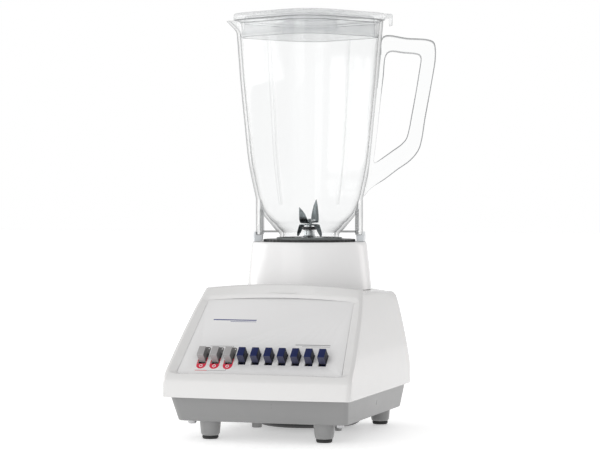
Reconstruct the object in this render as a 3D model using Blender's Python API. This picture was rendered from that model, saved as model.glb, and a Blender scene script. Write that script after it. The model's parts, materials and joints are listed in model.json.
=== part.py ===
"""Countertop blender: push-button motor base, lift-off jar, lid and filler cap.

Frame: +Z up, floor at z = 0, origin under the middle of the whole outline.
Front (the button panel) faces -Y. Lengths below are in millimetres.
"""
import math
import bpy
import bmesh
from mathutils import Vector, Matrix

for o in list(bpy.data.objects):
    bpy.data.objects.remove(o, do_unlink=True)

MM = 0.001

# ---------------------------------------------------------------- dimensions
BASE_X, BASE_Y = -14.58, -5.37     # middle of the motor base in the part's frame
AXIS_Y = 56.0                      # motor and jar axis, behind the base's middle
GAP = 0.3                          # gap between touching pieces
FLOOR_Z = 2.0                      # worktop, measured in the drawing's own heights
FOOT_H = 5.0                       # top of the rubber foot pads
TRAY_Z0, TRAY_Z1 = 19.8, 43.6      # underside and top edge of the tray
HOUS_Z0 = 44.0                     # lower edge of the housing
DECK_Z = 141.7                     # deck around the tower
RIDGE_Z = 145.3                    # top edge of the sloped front at its corners
SLOPE = math.radians(43.9)         # slope of the button panel
PANEL_C = (0.0, -72.85, 101.5)     # middle of the panel opening, on the outer face
RECESS = 2.3                       # the panel's face lies this deep
BTN_N, BTN_PITCH, BTN_S = 10, 13.43, -27.3
BTN_W, BTN_LO, BTN_HI, BTN_OUT, BTN_TRAVEL = 6.9, -5.1, 6.2, 7.4, 4.0
BEVEL_N = -1.9
TOWER_TOP = 190.0
SEAT_Z = 186.0
JAR_TURN = math.radians(15.5)      # the jar stands turned this far on the base
JAR_RIM = 414.0
LID_TOP = 421.5
CAP_TOP = 423.0

E1 = Vector((1, 0, 0))
E2 = Vector((0, math.cos(SLOPE), math.sin(SLOPE)))     # up the panel
EN = Vector((0, -math.sin(SLOPE), math.cos(SLOPE)))    # out of the panel
PC = Vector(PANEL_C)
JS = Vector((math.cos(JAR_TURN), math.sin(JAR_TURN), 0))    # towards the handle
JT = Vector((-math.sin(JAR_TURN), math.cos(JAR_TURN), 0))   # towards the back corner
AX = Vector((0, AXIS_Y, 0))
BASE = Vector((BASE_X, BASE_Y, -FLOOR_Z))


# ----------------------------------------------------------------- materials
def material(name, color, rough, metal=0.0, trans=0.0):
    m = bpy.data.materials.new(name)
    m.use_nodes = True
    b = m.node_tree.nodes["Principled BSDF"]
    b.inputs["Base Color"].default_value = (*color, 1)
    b.inputs["Roughness"].default_value = rough
    b.inputs["Metallic"].default_value = metal
    b.inputs["Transmission Weight"].default_value = trans
    m.diffuse_color = (*color, 1)
    return m


WHITE = material("white_plastic", (0.83, 0.82, 0.82), 0.25)
PANELG = material("panel_grey", (0.69, 0.69, 0.68), 0.4)
GREY = material("tray_grey", (0.36, 0.36, 0.36), 0.45)
LUGG = material("lug_grey", (0.66, 0.69, 0.72), 0.35)
RUBBER = material("black_rubber", (0.015, 0.015, 0.015), 0.7)
BLACK = material("black_plastic", (0.02, 0.02, 0.022), 0.4)
BTNG = material("button_grey", (0.38, 0.38, 0.38), 0.4)
NAVY = material("button_navy", (0.012, 0.022, 0.10), 0.35)
CLEAR = material("clear_plastic", (0.95, 0.96, 0.96), 0.05, trans=1.0)
LIDM = material("lid_plastic", (0.78, 0.81, 0.83), 0.3, trans=0.5)
STEEL = material("stainless", (0.55, 0.56, 0.57), 0.28, 1.0)
IRON = material("lamination_iron", (0.25, 0.25, 0.27), 0.5, 0.9)
COPPER = material("copper_winding", (0.55, 0.22, 0.09), 0.4, 0.9)
CARBON = material("carbon", (0.03, 0.03, 0.03), 0.6)
BRASS = material("brass", (0.6, 0.44, 0.16), 0.35, 1.0)
DARK = material("switch_plastic", (0.04, 0.04, 0.045), 0.5)


# ------------------------------------------------------------------- helpers
def loft(bm, rings, closed=False):
    """Skin a stack of equal rings; a closed stack joins its last to its first."""
    vs = [[bm.verts.new(p) for p in r] for r in rings]
    n = len(rings[0])
    pairs = list(zip(vs[:-1], vs[1:]))
    if closed:
        pairs.append((vs[-1], vs[0]))
    for a, b in pairs:
        for i in range(n):
            j = (i + 1) % n
            bm.faces.new((a[i], a[j], b[j], b[i]))
    if not closed:
        bm.faces.new(list(reversed(vs[0])))
        bm.faces.new(vs[-1])
    return vs


def ellipse(c, a, b, z, n, turn=0.0):
    return [Vector((c[0] + a * math.cos(turn + 2 * math.pi * i / n),
                    c[1] + b * math.sin(turn + 2 * math.pi * i / n), z)) for i in range(n)]


def revolve(bm, prof, n, c, closed):
    loft(bm, [ellipse(c, r, r, z, n) for r, z in prof], closed)


def box(bm, lo, hi):
    (x0, y0, z0), (x1, y1, z1) = lo, hi
    loft(bm, [[Vector(p) for p in ((x0, y0, z), (x1, y0, z), (x1, y1, z), (x0, y1, z))]
              for z in (z0, z1)])


def slab(bm, frame, outline, n0, n1):
    """Prism of a 2-D outline on a frame (origin, u, v, w) from w=n0 to w=n1."""
    o, u, v, w = frame
    loft(bm, [[o + u * a + v * b + w * n for a, b in outline] for n in (n0, n1)])


def rod(bm, p0, p1, r0, r1, n=16, turn=0.0):
    p0, p1 = Vector(p0), Vector(p1)
    w = (p1 - p0).normalized()
    u = w.orthogonal().normalized()
    v = w.cross(u)
    loft(bm, [[p + (u * math.cos(turn + 2 * math.pi * i / n)
                    + v * math.sin(turn + 2 * math.pi * i / n)) * r for i in range(n)]
              for p, r in ((p0, r0), (p1, r1))])


def finish_mesh(bm, name, origin=(0, 0, 0)):
    bmesh.ops.recalc_face_normals(bm, faces=bm.faces[:])
    org = (Vector(origin) + BASE) * MM
    for v in bm.verts:
        v.co = (v.co + BASE) * MM - org
    me = bpy.data.meshes.new(name)
    bm.to_mesh(me)
    bm.free()
    return me, org


def piece(name, bm, mat, origin=(0, 0, 0), smooth=30):
    me, org = finish_mesh(bm, name, origin)
    me.materials.append(mat)
    if smooth:
        me.shade_smooth()
        me.set_sharp_from_angle(angle=math.radians(smooth))
    ob = bpy.data.objects.new(name, me)
    ob.location = org
    bpy.context.scene.collection.objects.link(ob)
    return ob


def helper(name, bm):
    me, org = finish_mesh(bm, name)
    ob = bpy.data.objects.new(name, me)
    ob.location = org
    ob.hide_render = True
    ob.display_type = 'WIRE'
    bpy.context.scene.collection.objects.link(ob)
    return ob


def boolean(ob, other, op):
    m = ob.modifiers.new(op.lower() + "_" + other.name, 'BOOLEAN')
    m.operation = op
    m.object = other
    m.solver = 'EXACT'
    return m


# ---------------------------------------------------------- base outline rule
def base_ring(w, yf, yr, rf, rr, bf, br, z, zf=None, crown=0.0):
    """Rounded oblong with bowed front and back edges.

    The front edge and its corners can stand at their own height zf, crowned.
    """
    pts = []
    nf, nr, nc, ns = 9, 8, 4, 2

    def front_y(x):
        return yf - bf * (1 - (x / w) ** 2)

    def back_y(x):
        return yr + br * (1 - (x / w) ** 2)

    def add(x, y, front):
        if front and zf is not None:
            pts.append(Vector((x, y, zf + crown * (1 - min(1.0, abs(x) / w) ** 2))))
        else:
            pts.append(Vector((x, y, z)))
    for i in range(nf):
        x = (-w + rf) + (2 * w - 2 * rf) * i / (nf - 1)
        add(x, front_y(x), True)
    yc = front_y(w - rf)
    for i in range(1, nc):
        a = -math.pi / 2 + math.pi / 2 * i / nc
        add(w - rf + rf * math.cos(a), yc + rf + rf * math.sin(a), True)
    yb = back_y(w - rr)
    for i in range(ns + 1):
        t = i / ns
        add(w, (yc + rf) * (1 - t) + (yb - rr) * t, False)
    for i in range(1, nc):
        a = math.pi / 2 * i / nc
        add(w - rr + rr * math.cos(a), yb - rr + rr * math.sin(a), False)
    for i in range(nr):
        x = (w - rr) - (2 * w - 2 * rr) * i / (nr - 1)
        add(x, back_y(x), False)
    for i in range(1, nc):
        a = math.pi / 2 + math.pi / 2 * i / nc
        add(-w + rr + rr * math.cos(a), yb - rr + rr * math.sin(a), False)
    for i in range(ns + 1):
        t = i / ns
        add(-w, (yb - rr) * (1 - t) + (yc + rf) * t, False)
    for i in range(1, nc):
        a = math.pi + math.pi / 2 * i / nc
        add(-w + rf + rf * math.cos(a), yc + rf + rf * math.sin(a), True)
    # the left side stands 3.3 mm further from the motor axis than the right
    return [Vector((p.x * (w + 1.65) / w - 1.65, p.y, p.z)) for p in pts]


def lerp_table(table, z):
    for (z0, *a), (z1, *b) in zip(table[:-1], table[1:]):
        if z <= z1:
            t = max(0.0, (z - z0) / (z1 - z0))
            return [p * (1 - t) + q * t for p, q in zip(a, b)]
    return list(table[-1][1:])


# height: half width, front edge y, front bow, back edge y, back bow
HOUSING = [(44.0, 92.5, -117.0, 4.0, 117.0, 4.0),
           (60.0, 92.8, -114.0, 4.0, 115.0, 5.0),
           (64.5, 92.6, -111.5, 3.5, 114.2, 5.5),
           (80.0, 91.3, -95.3, 2.0, 110.0, 8.0),
           (100.0, 88.5, -74.5, 1.0, 105.0, 11.5),
           (122.0, 84.8, -51.5, 1.0, 99.5, 15.5),
           (139.0, 80.8, -33.8, 1.5, 95.0, 19.0)]



def soft(t):
    t = min(1.0, max(0.0, t))
    return t * t * (3 - 2 * t)


def reach(p):
    """1 on the motor tower's own outline, more outside it."""
    return math.hypot(p.x / 63.5, (p.y - AXIS_Y) / 57.5)


def sag(ring):
    """The deck falls away a little at its two rear corners."""
    return [Vector((p.x, p.y, p.z - 3.0 * soft((p.y - 25) / 60) * soft((reach(p) - 1.02) / 0.22))) for p in ring]


# ------------------------------------------------------------------- housing
TW = 2.6
rings = []
for z in (48.0, 64.5, 80.0, 100.0, 122.0, 138.9):
    w, yf, bf, yr, br = lerp_table(HOUSING, z)
    rings.append(base_ring(w - TW, yf + TW, yr - TW, 4, 7, bf, br, z))
rings[-1] = sag(rings[-1])
NH = len(rings[0])


def hole_ring(a, b, z):
    """Ellipse around the motor axis with its points at the ring's own bearings."""
    ref = base_ring(80.8, -33.8, 95.0, 6, 9, 1.5, 19, z)
    out = []
    cum = 0.0
    ang = []
    for p in ref:
        ang.append(math.atan2(p.y - 40.0, p.x))
    for t in ang:
        out.append(Vector((a * math.cos(t), AXIS_Y + b * math.sin(t), z)))
    return out


rings.append(hole_ring(50, 47, 138.9))
rings.append(hole_ring(50, 47, DECK_Z))
edge = base_ring(75.5, -19.5, 92.0, 5, 7, 2, 18, DECK_Z)
rings.append([a.lerp(b, min(0.85, 0.22 / max(0.2, reach(b) - 0.8))) for a, b in zip(rings[-1], edge)])
rings.append(sag(edge))
rings.append(sag(base_ring(77.5, -22.0, 93.0, 5, 8, 2, 18.5, DECK_Z, RIDGE_Z - 0.2, 4.5)))
rings.append(sag(base_ring(79.2, -27.2, 94.2, 5, 9, 2, 19.3, DECK_Z - 0.6, RIDGE_Z, 4.5)))
for z in (139.0, 122.0, 100.0, 80.0, 64.5, 60.0, 44.0):
    w, yf, bf, yr, br = lerp_table(HOUSING, z)
    rings.append(base_ring(w, yf, yr, 6, 10, bf, br, z))
    if z == 139.0:
        rings[-1] = sag(rings[-1])
rings.append(base_ring(87.2, -111.5, 111.5, 4, 6, 4, 4, 44.0))
bm = bmesh.new()
loft(bm, rings, closed=True)
housing = piece("housing", bm, WHITE)

# four screw posts hang from the housing
POSTS = [(-74.5, -88, 60.0), (74.5, -88, 60.0), (-62, 70, 139.2), (62, 70, 139.2)]
bm = bmesh.new()
for x, y, z in POSTS:
    rod(bm, (x, y, 22.9), (x, y, z), 5.0, 5.6, 12)
boolean(housing, helper("add_posts", bm), 'UNION')
bm = bmesh.new()
for sg in (-1, 1):
    x0, x1 = (75.0, 91.2) if sg > 0 else (-94.5, -75.0)
    box(bm, (x0, -89.5, 47.0), (x1, -86.5, 58.0))
boolean(housing, helper("add_post_webs", bm), 'UNION')
bm = bmesh.new()
for x, y, z in POSTS:
    rod(bm, (x, y, 20.0), (x, y, 44.0), 2.3, 2.3, 12)
# panel opening: a tapered outline with an arched top edge
outl = [(-81.6 + 3, -48.2), (81.6 - 3, -48.2), (81.3, -45.0), (73.9, 45.5)]
outl += [(x, 48.2 + 2.6 * (1 - (x / 73.5) ** 2)) for x in (71.5, 58, 40, 20, 0, -20, -40, -58, -71.5)]
outl += [(-73.9, 45.5), (-81.3, -45.0)]
outl = [(x * 1.016 - 1.3, y) for x, y in outl]
out_n = []
for i, p in enumerate(outl):
    a, b = outl[i - 1], outl[(i + 1) % len(outl)]
    t = Vector((b[0] - a[0], b[1] - a[1])).normalized()
    out_n.append((t.y * 7.5, -t.x * (4.3 if p[1] > 0 else 3.5)))


def opening(k, n):
    """The opening's outline, k bevel widths outside itself, at height n."""
    return [PC + E1 * (p[0] + k * q[0]) + E2 * (p[1] + k * q[1]) + EN * n for p, q in zip(outl, out_n)]


loft(bm, [opening(0, -7), opening(0, BEVEL_N), opening(1.7, BEVEL_N + 1.7 * 2.4)])
# rear hole for the cord inlet
REAR_N = Vector((0, 1, 0))
INLET = Vector((52.0, 118.0, 62.0))
rod(bm, INLET - REAR_N * 9, INLET + REAR_N * 9, 6.6, 6.6, 16)
boolean(housing, helper("cut_housing", bm), 'DIFFERENCE')

# ----------------------------------------------------------------- base tray
TRAY = [(19.8, 83.6, -97.0, 0.5, 107.0, 0.5), (22.6, 84.1, -98.3, 0.6, 107.6, 0.6),
        (43.6, 87.4, -108.5, 1.5, 112.0, 1.5)]
rings = []
for z, t in ((TRAY_Z0, 0.0), (TRAY_Z1, 0.0)):
    w, yf, bf, yr, br = lerp_table(TRAY, z)
    rings.append(base_ring(w, yf, yr, 9, 9, bf, br, z))
for z, t in ((TRAY_Z1, 2.5), (22.5, 2.5)):
    w, yf, bf, yr, br = lerp_table(TRAY, z)
    rings.append(base_ring(w - t, yf + t, yr - t, 6.5, 6.5, bf, br, z))
bm = bmesh.new()
loft(bm, rings)
tray = piece("base_tray", bm, GREY)
FEET = [("front_left", -57.5, -83.5), ("front_right", 57.5, -83.5),
        ("rear_left", -64.2, 94.5), ("rear_right", 64.2, 94.5)]
bm = bmesh.new()
for _, x, y in FEET:
    revolve(bm, [(7.9, FOOT_H + GAP), (9.0, FOOT_H + 1.9), (9.5, FOOT_H + 4.6), (10.2, 21.2)], 20, (x, y), False)
for x, y, z, r in ((-18.5, -58, 11.4, 4.9), (-63.5, -56, 10.4, 3.3), (63.5, -56, 10.4, 3.3)):
    rod(bm, (x, y, z), (x, y, 21.2), r, r + 0.4, 12)
boolean(tray, helper("add_feet", bm), 'UNION')
VENT_Y = 53.0
bm = bmesh.new()
rod(bm, (0, VENT_Y, 12), (0, VENT_Y, 30), 44, 44, 36)
for x, y, z in POSTS:
    rod(bm, (x, y, 12), (x, y, 30), 2.4, 2.4, 12)
boolean(tray, helper("cut_tray", bm), 'DIFFERENCE')

for nm, x, y in FEET:
    bm = bmesh.new()
    revolve(bm, [(6.4, FLOOR_Z), (7.6, FLOOR_Z + 0.8), (7.9, FLOOR_Z + 1.8), (7.9, FOOT_H)], 16, (x, y), False)
    piece("foot_pad_" + nm, bm, RUBBER, (x, y, FLOOR_Z))

for k, (x, y, z) in enumerate(POSTS):
    bm = bmesh.new()
    revolve(bm, [(3.2, 16.6), (4.2, 17.6), (4.2, 19.5), (2.0, 19.5), (2.0, 38.0)], 12, (x, y), False)
    piece("tray_screw_%d" % (k + 1), bm, STEEL, (x, y, 16.6))

# vent cover: a shallow slotted bowl under the fan
bm = bmesh.new()
revolve(bm, [(0.6, 3.9), (40, 4.0), (48, 4.6), (52.5, 7.5), (53.8, 12.0), (53.8, 19.5), (51.4, 19.5), (51.4, 12.6), (50.6, 9.2),
             (47.2, 6.8), (40, 6.2), (0.6, 6.1)], 28, (0, VENT_Y), True)
vent = piece("vent_cover", bm, BLACK, (0, VENT_Y, 3.9))
bm = bmesh.new()
for i in range(12):
    a = 2 * math.pi * (i + 0.5) / 12
    u = Vector((math.cos(a), math.sin(a), 0))
    v = Vector((-math.sin(a), math.cos(a), 0))
    slab(bm, (Vector((0, VENT_Y, 0)), u, v, Vector((0, 0, 1))),
         [(16, -1.6), (34, -3.2), (34, 3.2), (16, 1.6)], 2, 12)
boolean(vent, helper("cut_vent", bm), 'DIFFERENCE')

# ------------------------------------------------------------- motor tower
NT = 36
prof = [(63.5, 57.5, 142.0), (62.6, 57.0, 152.0), (58.9, 55.3, 186.8), (58.2, 54.7, 189.2), (57.2, 54.0, TOWER_TOP),
        (50.4, 50.4, TOWER_TOP), (49.6, 49.6, 189.0), (49.4, 49.4, SEAT_Z), (25.5, 25.5, SEAT_Z), (25.0, 25.0, 171.4),
        (10.2, 10.2, 171.4), (10.2, 10.2, 168.8), (27.6, 27.6, 168.8), (28.0, 28.0, 183.4),
        (54.8, 51.6, 183.4), (60.0, 54.2, 152.0), (60.6, 54.6, 142.0)]
bm = bmesh.new()
loft(bm, [ellipse(AX, a, b, z, NT) for a, b, z in prof], closed=True)
piece("motor_tower", bm, WHITE, AX)

# two lugs on the rim carry the jar's legs
for nm, sg in (("left", -1), ("right", 1)):
    rows = []
    arc = [math.radians(a) for a in (-15, -10, -5, 0, 5, 10, 15)]
    for r0, r1, z in ((49.9, 57.0, 190.3), (49.2, 57.2, 196.4), (55.4, 57.2, 196.4), (55.8, 56.8, 199.6)):
        ring = []
        for a in arc:
            ring.append(AX + (JS * sg * math.cos(a) + JT * math.sin(a)) * r1 + Vector((0, 0, z)))
        for a in reversed(arc):
            ring.append(AX + (JS * sg * math.cos(a) + JT * math.sin(a)) * r0 + Vector((0, 0, z)))
        rows.append(ring)
    bm = bmesh.new()
    loft(bm, rows)
    piece("jar_lug_" + nm, bm, LUGG, AX + JS * sg * 53 + Vector((0, 0, 190.3)))

# ---------------------------------------------------- control panel, buttons
bm = bmesh.new()
po = [(-84.2, -51.5), (84.2, -51.5), (76.8, 50.5), (50, 53.5), (0, 54.5), (-50, 53.5), (-76.8, 50.5)]
po = [(x * 1.016 - 1.3, y) for x, y in po]
slab(bm, (PC, E1, E2, EN), po, -RECESS - 2.4, -RECESS)
panel = piece("control_panel", bm, PANELG, PC, smooth=0)
bm = bmesh.new()
BX = [(k - (BTN_N - 1) / 2) * BTN_PITCH - 1.45 for k in range(BTN_N)]
for x in BX:
    slab(bm, (PC, E1, E2, EN), [(x - 3.85, BTN_S - 7.9), (x + 3.85, BTN_S - 7.9), (x + 3.85, BTN_S + 6.8), (x - 3.85, BTN_S + 6.8)], -8, 2)
boolean(panel, helper("cut_slots", bm), 'DIFFERENCE')

for k, x in enumerate(BX):
    bm = bmesh.new()
    f = (PC + E1 * x + E2 * BTN_S, E1, E2, EN)

    def rect(a, b0, b1, n):
        return [f[0] + E1 * p + E2 * q + EN * n for p, q in ((-a, b0), (a, b0), (a, b1), (-a, b1))]
    h = BTN_W / 2
    loft(bm, [rect(2.4, -3.5, 3.5, -14.5), rect(2.4, -3.5, 3.5, -4.2), rect(h, BTN_LO, BTN_HI, -4.2),
              rect(h - 0.05, BTN_LO + 0.1, BTN_HI - 0.1, BTN_OUT - 0.8), rect(h - 0.4, BTN_LO + 0.5, BTN_HI - 0.5, BTN_OUT)])
    piece("button_%d" % (k + 1), bm, BTNG if k < 3 else NAVY, f[0], smooth=0)

bm = bmesh.new()
slab(bm, (PC, E1, E2, EN), [(-68, BTN_S - 10), (65, BTN_S - 10), (65, BTN_S + 10), (-68, BTN_S + 10)], -30, -9.2)
switch = piece("switch_block", bm, DARK, PC, smooth=0)
bm = bmesh.new()
for x in BX:
    slab(bm, (PC, E1, E2, EN), [(x - 2.8, BTN_S - 4.0), (x + 2.8, BTN_S - 4.0), (x + 2.8, BTN_S + 4.0), (x - 2.8, BTN_S + 4.0)], -21, -6)
boolean(switch, helper("cut_switch", bm), 'DIFFERENCE')

# --------------------------------------------------------------- cord inlet
def on_axis(origin, w, prof, n):
    u = w.orthogonal().normalized()
    v = w.cross(u)
    return [[origin + w * z + (u * math.cos(2 * math.pi * i / n) + v * math.sin(2 * math.pi * i / n)) * r
             for i in range(n)] for r, z in prof]


bm = bmesh.new()
loft(bm, on_axis(INLET, REAR_N, [(4.0, -7), (6.2, -7), (6.2, 2.5), (9.0, 2.5), (8.2, 4.6), (4.0, 4.6)], 16), closed=True)
piece("cord_inlet", bm, BLACK, INLET)

# ---------------------------------------------------------- motor, stationary
ST_Z0, ST_Z1 = 62.0, 102.0
bore = [(25.0 * math.cos(math.radians(a)), 25.0 * math.sin(math.radians(a))) for a in range(-50, 51, 10)]
cav = []
# right pole shoe, then the window to the left pole, mirrored
right = bore
cav += right
cav += [(19.0, 22.5), (28.5, 20.0), (28.5, 15.0), (38.5, 15.0), (38.5, 30.0), (0.0, 30.0)]
left = [(-x, y) for x, y in reversed(cav[:-1])]
top = cav[11:] + [(-x, y) for x, y in reversed(cav[11:-1])]
loop = bore + [(x, y) for x, y in cav[11:]]
loop += [(-x, y) for x, y in reversed(cav[11:-1])]
loop += [(-x, y) for x, y in reversed(bore)]
loop += [(-x, -y) for x, y in cav[11:]]
loop += [(x, -y) for x, y in reversed(cav[11:-1])]
NL = len(loop)
bm = bmesh.new()


def frame_pt(x, y):
    """Outer stator outline at the bearing of an inner point."""
    s = 1.0 / max(abs(x) / 46.0, abs(y) / 36.0)
    return (x * s, y * s)


outer = []
for i in range(NL):
    x, y = loop[i]
    outer.append(frame_pt(x, y))
ang = [math.atan2(y, x) for x, y in outer]
inner_r = [Vector((x, AXIS_Y + y, 0)) for x, y in loop]
# even out the outer points so that neighbours never cross
outer_r = [Vector((frame_pt(math.cos(2 * math.pi * (i / NL) + ang[0]), math.sin(2 * math.pi * (i / NL) + ang[0]))[0],
                   AXIS_Y + frame_pt(math.cos(2 * math.pi * (i / NL) + ang[0]), math.sin(2 * math.pi * (i / NL) + ang[0]))[1], 0)) for i in range(NL)]
rod_holes = None
bm = bmesh.new()
slab(bm, (AX, Vector((1, 0, 0)), Vector((0, 1, 0)), Vector((0, 0, 1))),
     [(-46, -31), (-41, -36), (41, -36), (46, -31), (46, 31), (41, 36), (-41, 36), (-46, 31)], ST_Z0, ST_Z1)
stator = piece("stator_core", bm, IRON, AX + Vector((0, 0, ST_Z0)))
bm = bmesh.new()
slab(bm, (AX, Vector((1, 0, 0)), Vector((0, 1, 0)), Vector((0, 0, 1))), loop, ST_Z0 - 3, ST_Z1 + 3)
boolean(stator, helper("cut_stator", bm), 'DIFFERENCE')

for nm, sg in (("left", -1), ("right", 1)):
    bm = bmesh.new()
    x0, x1 = 29.2, 37.8
    if sg < 0:
        x0, x1 = -x1, -x0
    loft(bm, [[Vector((x, AXIS_Y + y, z)) for y, z in
               ((-15 - e, ST_Z0 - e), (15 + e, ST_Z0 - e), (15 + e, ST_Z1 + e), (-15 - e, ST_Z1 + e))]
              for x, e in ((x0, 0.4), (x0, 9.5), (x1, 9.5), (x1, 0.4))], closed=True)
    piece("field_coil_" + nm, bm, COPPER, AX + Vector(((x0 + x1) / 2, 0, 82)))

for nm, zp, zl, sgn in (("upper", 128.0, ST_Z1 + GAP, 1), ("lower", 50.0, ST_Z0 - GAP, -1)):
    bm = bmesh.new()
    z0, z1 = zp, zp + 4 * sgn
    prof = [(-45.5, zl), (-45.5, z1), (45.5, z1), (45.5, zl), (41.5, zl), (41.5, z0), (-41.5, z0), (-41.5, zl)]
    loft(bm, [[Vector((x, AXIS_Y + y, z)) for x, z in prof] for y in (-9, 9)])
    br = piece("bearing_bracket_" + nm, bm, IRON, AX + Vector((0, 0, zp)))
    bm = bmesh.new()
    rod(bm, (0, AXIS_Y, zp - 8), (0, AXIS_Y, zp + 8), 8.3, 8.3, 16)
    boolean(br, helper("cut_bracket_" + nm, bm), 'DIFFERENCE')
    bm = bmesh.new()
    revolve(bm, [(4.35, zp - 2 * sgn), (7.9, zp - 2 * sgn), (7.9, zp + 6 * sgn), (4.35, zp + 6 * sgn)], 16, AX, True)
    piece("bearing_" + nm, bm, BRASS, AX + Vector((0, 0, zp)))

for nm, sg in (("front", -1), ("rear", 1)):
    bm = bmesh.new()
    o = AX + Vector((0, 0, 113))
    fr = (o, Vector((1, 0, 0)), Vector((0, 0, 1)), Vector((0, sg, 0)))
    ring = lambda a, b, n: [o + Vector((p, sg * n, q)) for p, q in ((-a, -b), (a, -b), (a, b), (-a, b))]
    loft(bm, [ring(2.9, 3.9, 14.5), ring(5.0, 6.0, 14.5), ring(5.0, 6.0, 31), ring(2.9, 3.9, 31)], closed=True)
    piece("brush_holder_" + nm, bm, BRASS, o + Vector((0, sg * 20, 0)), smooth=0)
    bm = bmesh.new()
    loft(bm, [ring(2.5, 3.5, 11.9), ring(2.5, 3.5, 25.0)])
    piece("carbon_brush_" + nm, bm, CARBON, o + Vector((0, sg * 18, 0)), smooth=0)

# ------------------------------------------------------------ motor, turning
bm = bmesh.new()
revolve(bm, [(3.4, 27.0), (4.0, 27.8), (4.0, 165.0), (3.4, 165.8)], 20, AX, False)
piece("armature_shaft", bm, STEEL, AX)

slots = []
for i in range(12):
    a0 = 2 * math.pi * i / 12
    for da, r in ((-0.215, 24.0), (0.0, 24.2), (0.215, 24.0), (0.235, 18.5), (0.289, 18.5)):
        slots.append((r, a0 + da))
bm = bmesh.new()
NS = len(slots)
loft(bm, [[Vector((r * math.cos(a), AXIS_Y + r * math.sin(a), z)) for r, a in ring]
          for ring, z in ((slots, ST_Z0 + 1), (slots, ST_Z1 - 1),
                          ([(4.35, 2 * math.pi * i / NS - 0.2) for i in range(NS)], ST_Z1 - 1),
                          ([(4.35, 2 * math.pi * i / NS - 0.2) for i in range(NS)], ST_Z0 + 1))], closed=True)
piece("armature_core", bm, IRON, AX + Vector((0, 0, ST_Z0)))
for nm, z0, z1 in (("upper", ST_Z1 - 0.7, ST_Z1 + 4.0), ("lower", ST_Z0 - 7.5, ST_Z0 + 0.7)):
    bm = bmesh.new()
    revolve(bm, [(6.0, z0), (16.5, z0), (19.0, (z0 + z1) / 2), (15.5, z1), (6.0, z1)], 18, AX, True)
    piece("armature_winding_" + nm, bm, COPPER, AX + Vector((0, 0, z0)))
bm = bmesh.new()
revolve(bm, [(4.35, 106.5), (12.5, 106.5), (12.5, 108), (11.2, 108.3), (11.2, 119), (4.35, 119)], 18, AX, True)
piece("commutator", bm, COPPER, AX + Vector((0, 0, 106.5)))

bm = bmesh.new()
revolve(bm, [(4.35, 29.0), (9.0, 29.0), (9.0, 40.2), (36.0, 40.2), (36.0, 41.8), (4.35, 41.8)], 24, AX, True)
fan = piece("cooling_fan", bm, BLACK, AX + Vector((0, 0, 30)))
bm = bmesh.new()
for i in range(8):
    a = 2 * math.pi * i / 8
    u = Vector((math.cos(a), math.sin(a), 0))
    v = Vector((-math.sin(a), math.cos(a), 0))
    slab(bm, (AX, u, v, Vector((0, 0, 1))), [(8.0, -0.8), (35.0, -0.8), (35.0, 0.8), (8.0, 0.8)], 30.0, 40.9)
boolean(fan, helper("add_fan_blades", bm), 'UNION')

# drive stud: round hub over the shaft's end, square drive above it
bm = bmesh.new()


def square(h, z, n=16):
    out = []
    for i in range(n):
        a = 2 * math.pi * i / n + math.pi / 4
        m = max(abs(math.cos(a)), abs(math.sin(a)))
        out.append(AX + Vector((h * math.cos(a) / m, h * math.sin(a) / m, z)))
    return out


def circ(r, z, n=16):
    return [AX + Vector((r * math.cos(2 * math.pi * i / n + math.pi / 4), r * math.sin(2 * math.pi * i / n + math.pi / 4), z))
            for i in range(n)]


loft(bm, [circ(2.0, 166.4), circ(4.35, 166.4), circ(4.35, 159.0), circ(8.8, 159.0), circ(8.8, 173.0), square(4.8, 173.0), square(4.8, 184.0), square(4.3, 184.6)])
piece("drive_stud", bm, STEEL, AX + Vector((0, 0, 159)))

# ------------------------------------------------------------------ the jar
def jring(h, r, z, m=5):
    """Rounded square seen from above with its corners along JS and JT."""
    out = []
    for k in range(4):
        c = math.pi / 2 * k
        cc = (JS * math.cos(c) + JT * math.sin(c)) * (h - r)
        for j in range(m + 1):
            a = c - math.pi / 4 + math.pi / 2 * j / m
            out.append(AX + cc + (JS * math.cos(a) + JT * math.sin(a)) * r + Vector((0, 0, z)))
    return out


SPOUT_Z0 = 402.0


def spout(ring, z, reach=9.6):
    """Push the ring's left corner out into the pouring lip."""
    if z <= SPOUT_Z0:
        return ring
    k = ((z - SPOUT_Z0) / (JAR_RIM - SPOUT_Z0)) ** 1.15
    out = []
    for p in ring:
        d = p - AX
        s, t = d.dot(JS), d.dot(JT)
        if s < 0:
            q = max(0.0, 1 - abs(t) / 15.0)
            p = p - JS * reach * k * q ** 0.8
        out.append(p)
    return out


OUT = [(192.5, 30.3, 30.3), (197.0, 30.3, 30.3), (202.8, 35.5, 35.0), (207.5, 39.3, 34.0), (213.7, 44.5, 32.0),
       (219.8, 49.0, 28.5), (226.0, 52.0, 26.0), (232.0, 54.1, 25.0), (242.0, 56.3, 25.3), (256.0, 59.3, 25.8), (272.6, 62.2, 26.5),
       (313.0, 66.4, 28.0), (354.0, 70.4, 29.0), (394.0, 73.4, 30.0), (402.0, 74.1, 30.0), (408.0, 74.7, 30.0), (413.0, 75.1, 30.0), (414.0, 74.6, 29.6)]
INN = [(414.0, 72.4, 27.4), (408.0, 71.5, 26.9), (402.0, 71.0, 26.9), (394.0, 70.3, 26.8), (354.0, 67.2, 25.8), (313.0, 63.2, 24.8),
       (272.6, 59.0, 23.3), (252.0, 55.2, 22.4), (234.0, 51.2, 22.0), (227.0, 48.6, 22.6), (220.0, 45.6, 25.0), (214.0, 41.2, 29.0), (209.4, 36.6, 33.0), (204.4, 32.2, 32.2), (199.0, 26.7, 26.7), (192.5, 26.7, 26.7)]
bm = bmesh.new()
loft(bm, [spout(jring(h, r, z), z) for z, h, r in OUT] + [spout(jring(h, r, z), z) for z, h, r in INN], closed=True)
jar = piece("jar", bm, CLEAR, AX + Vector((0, 0, 192.5)))


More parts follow.
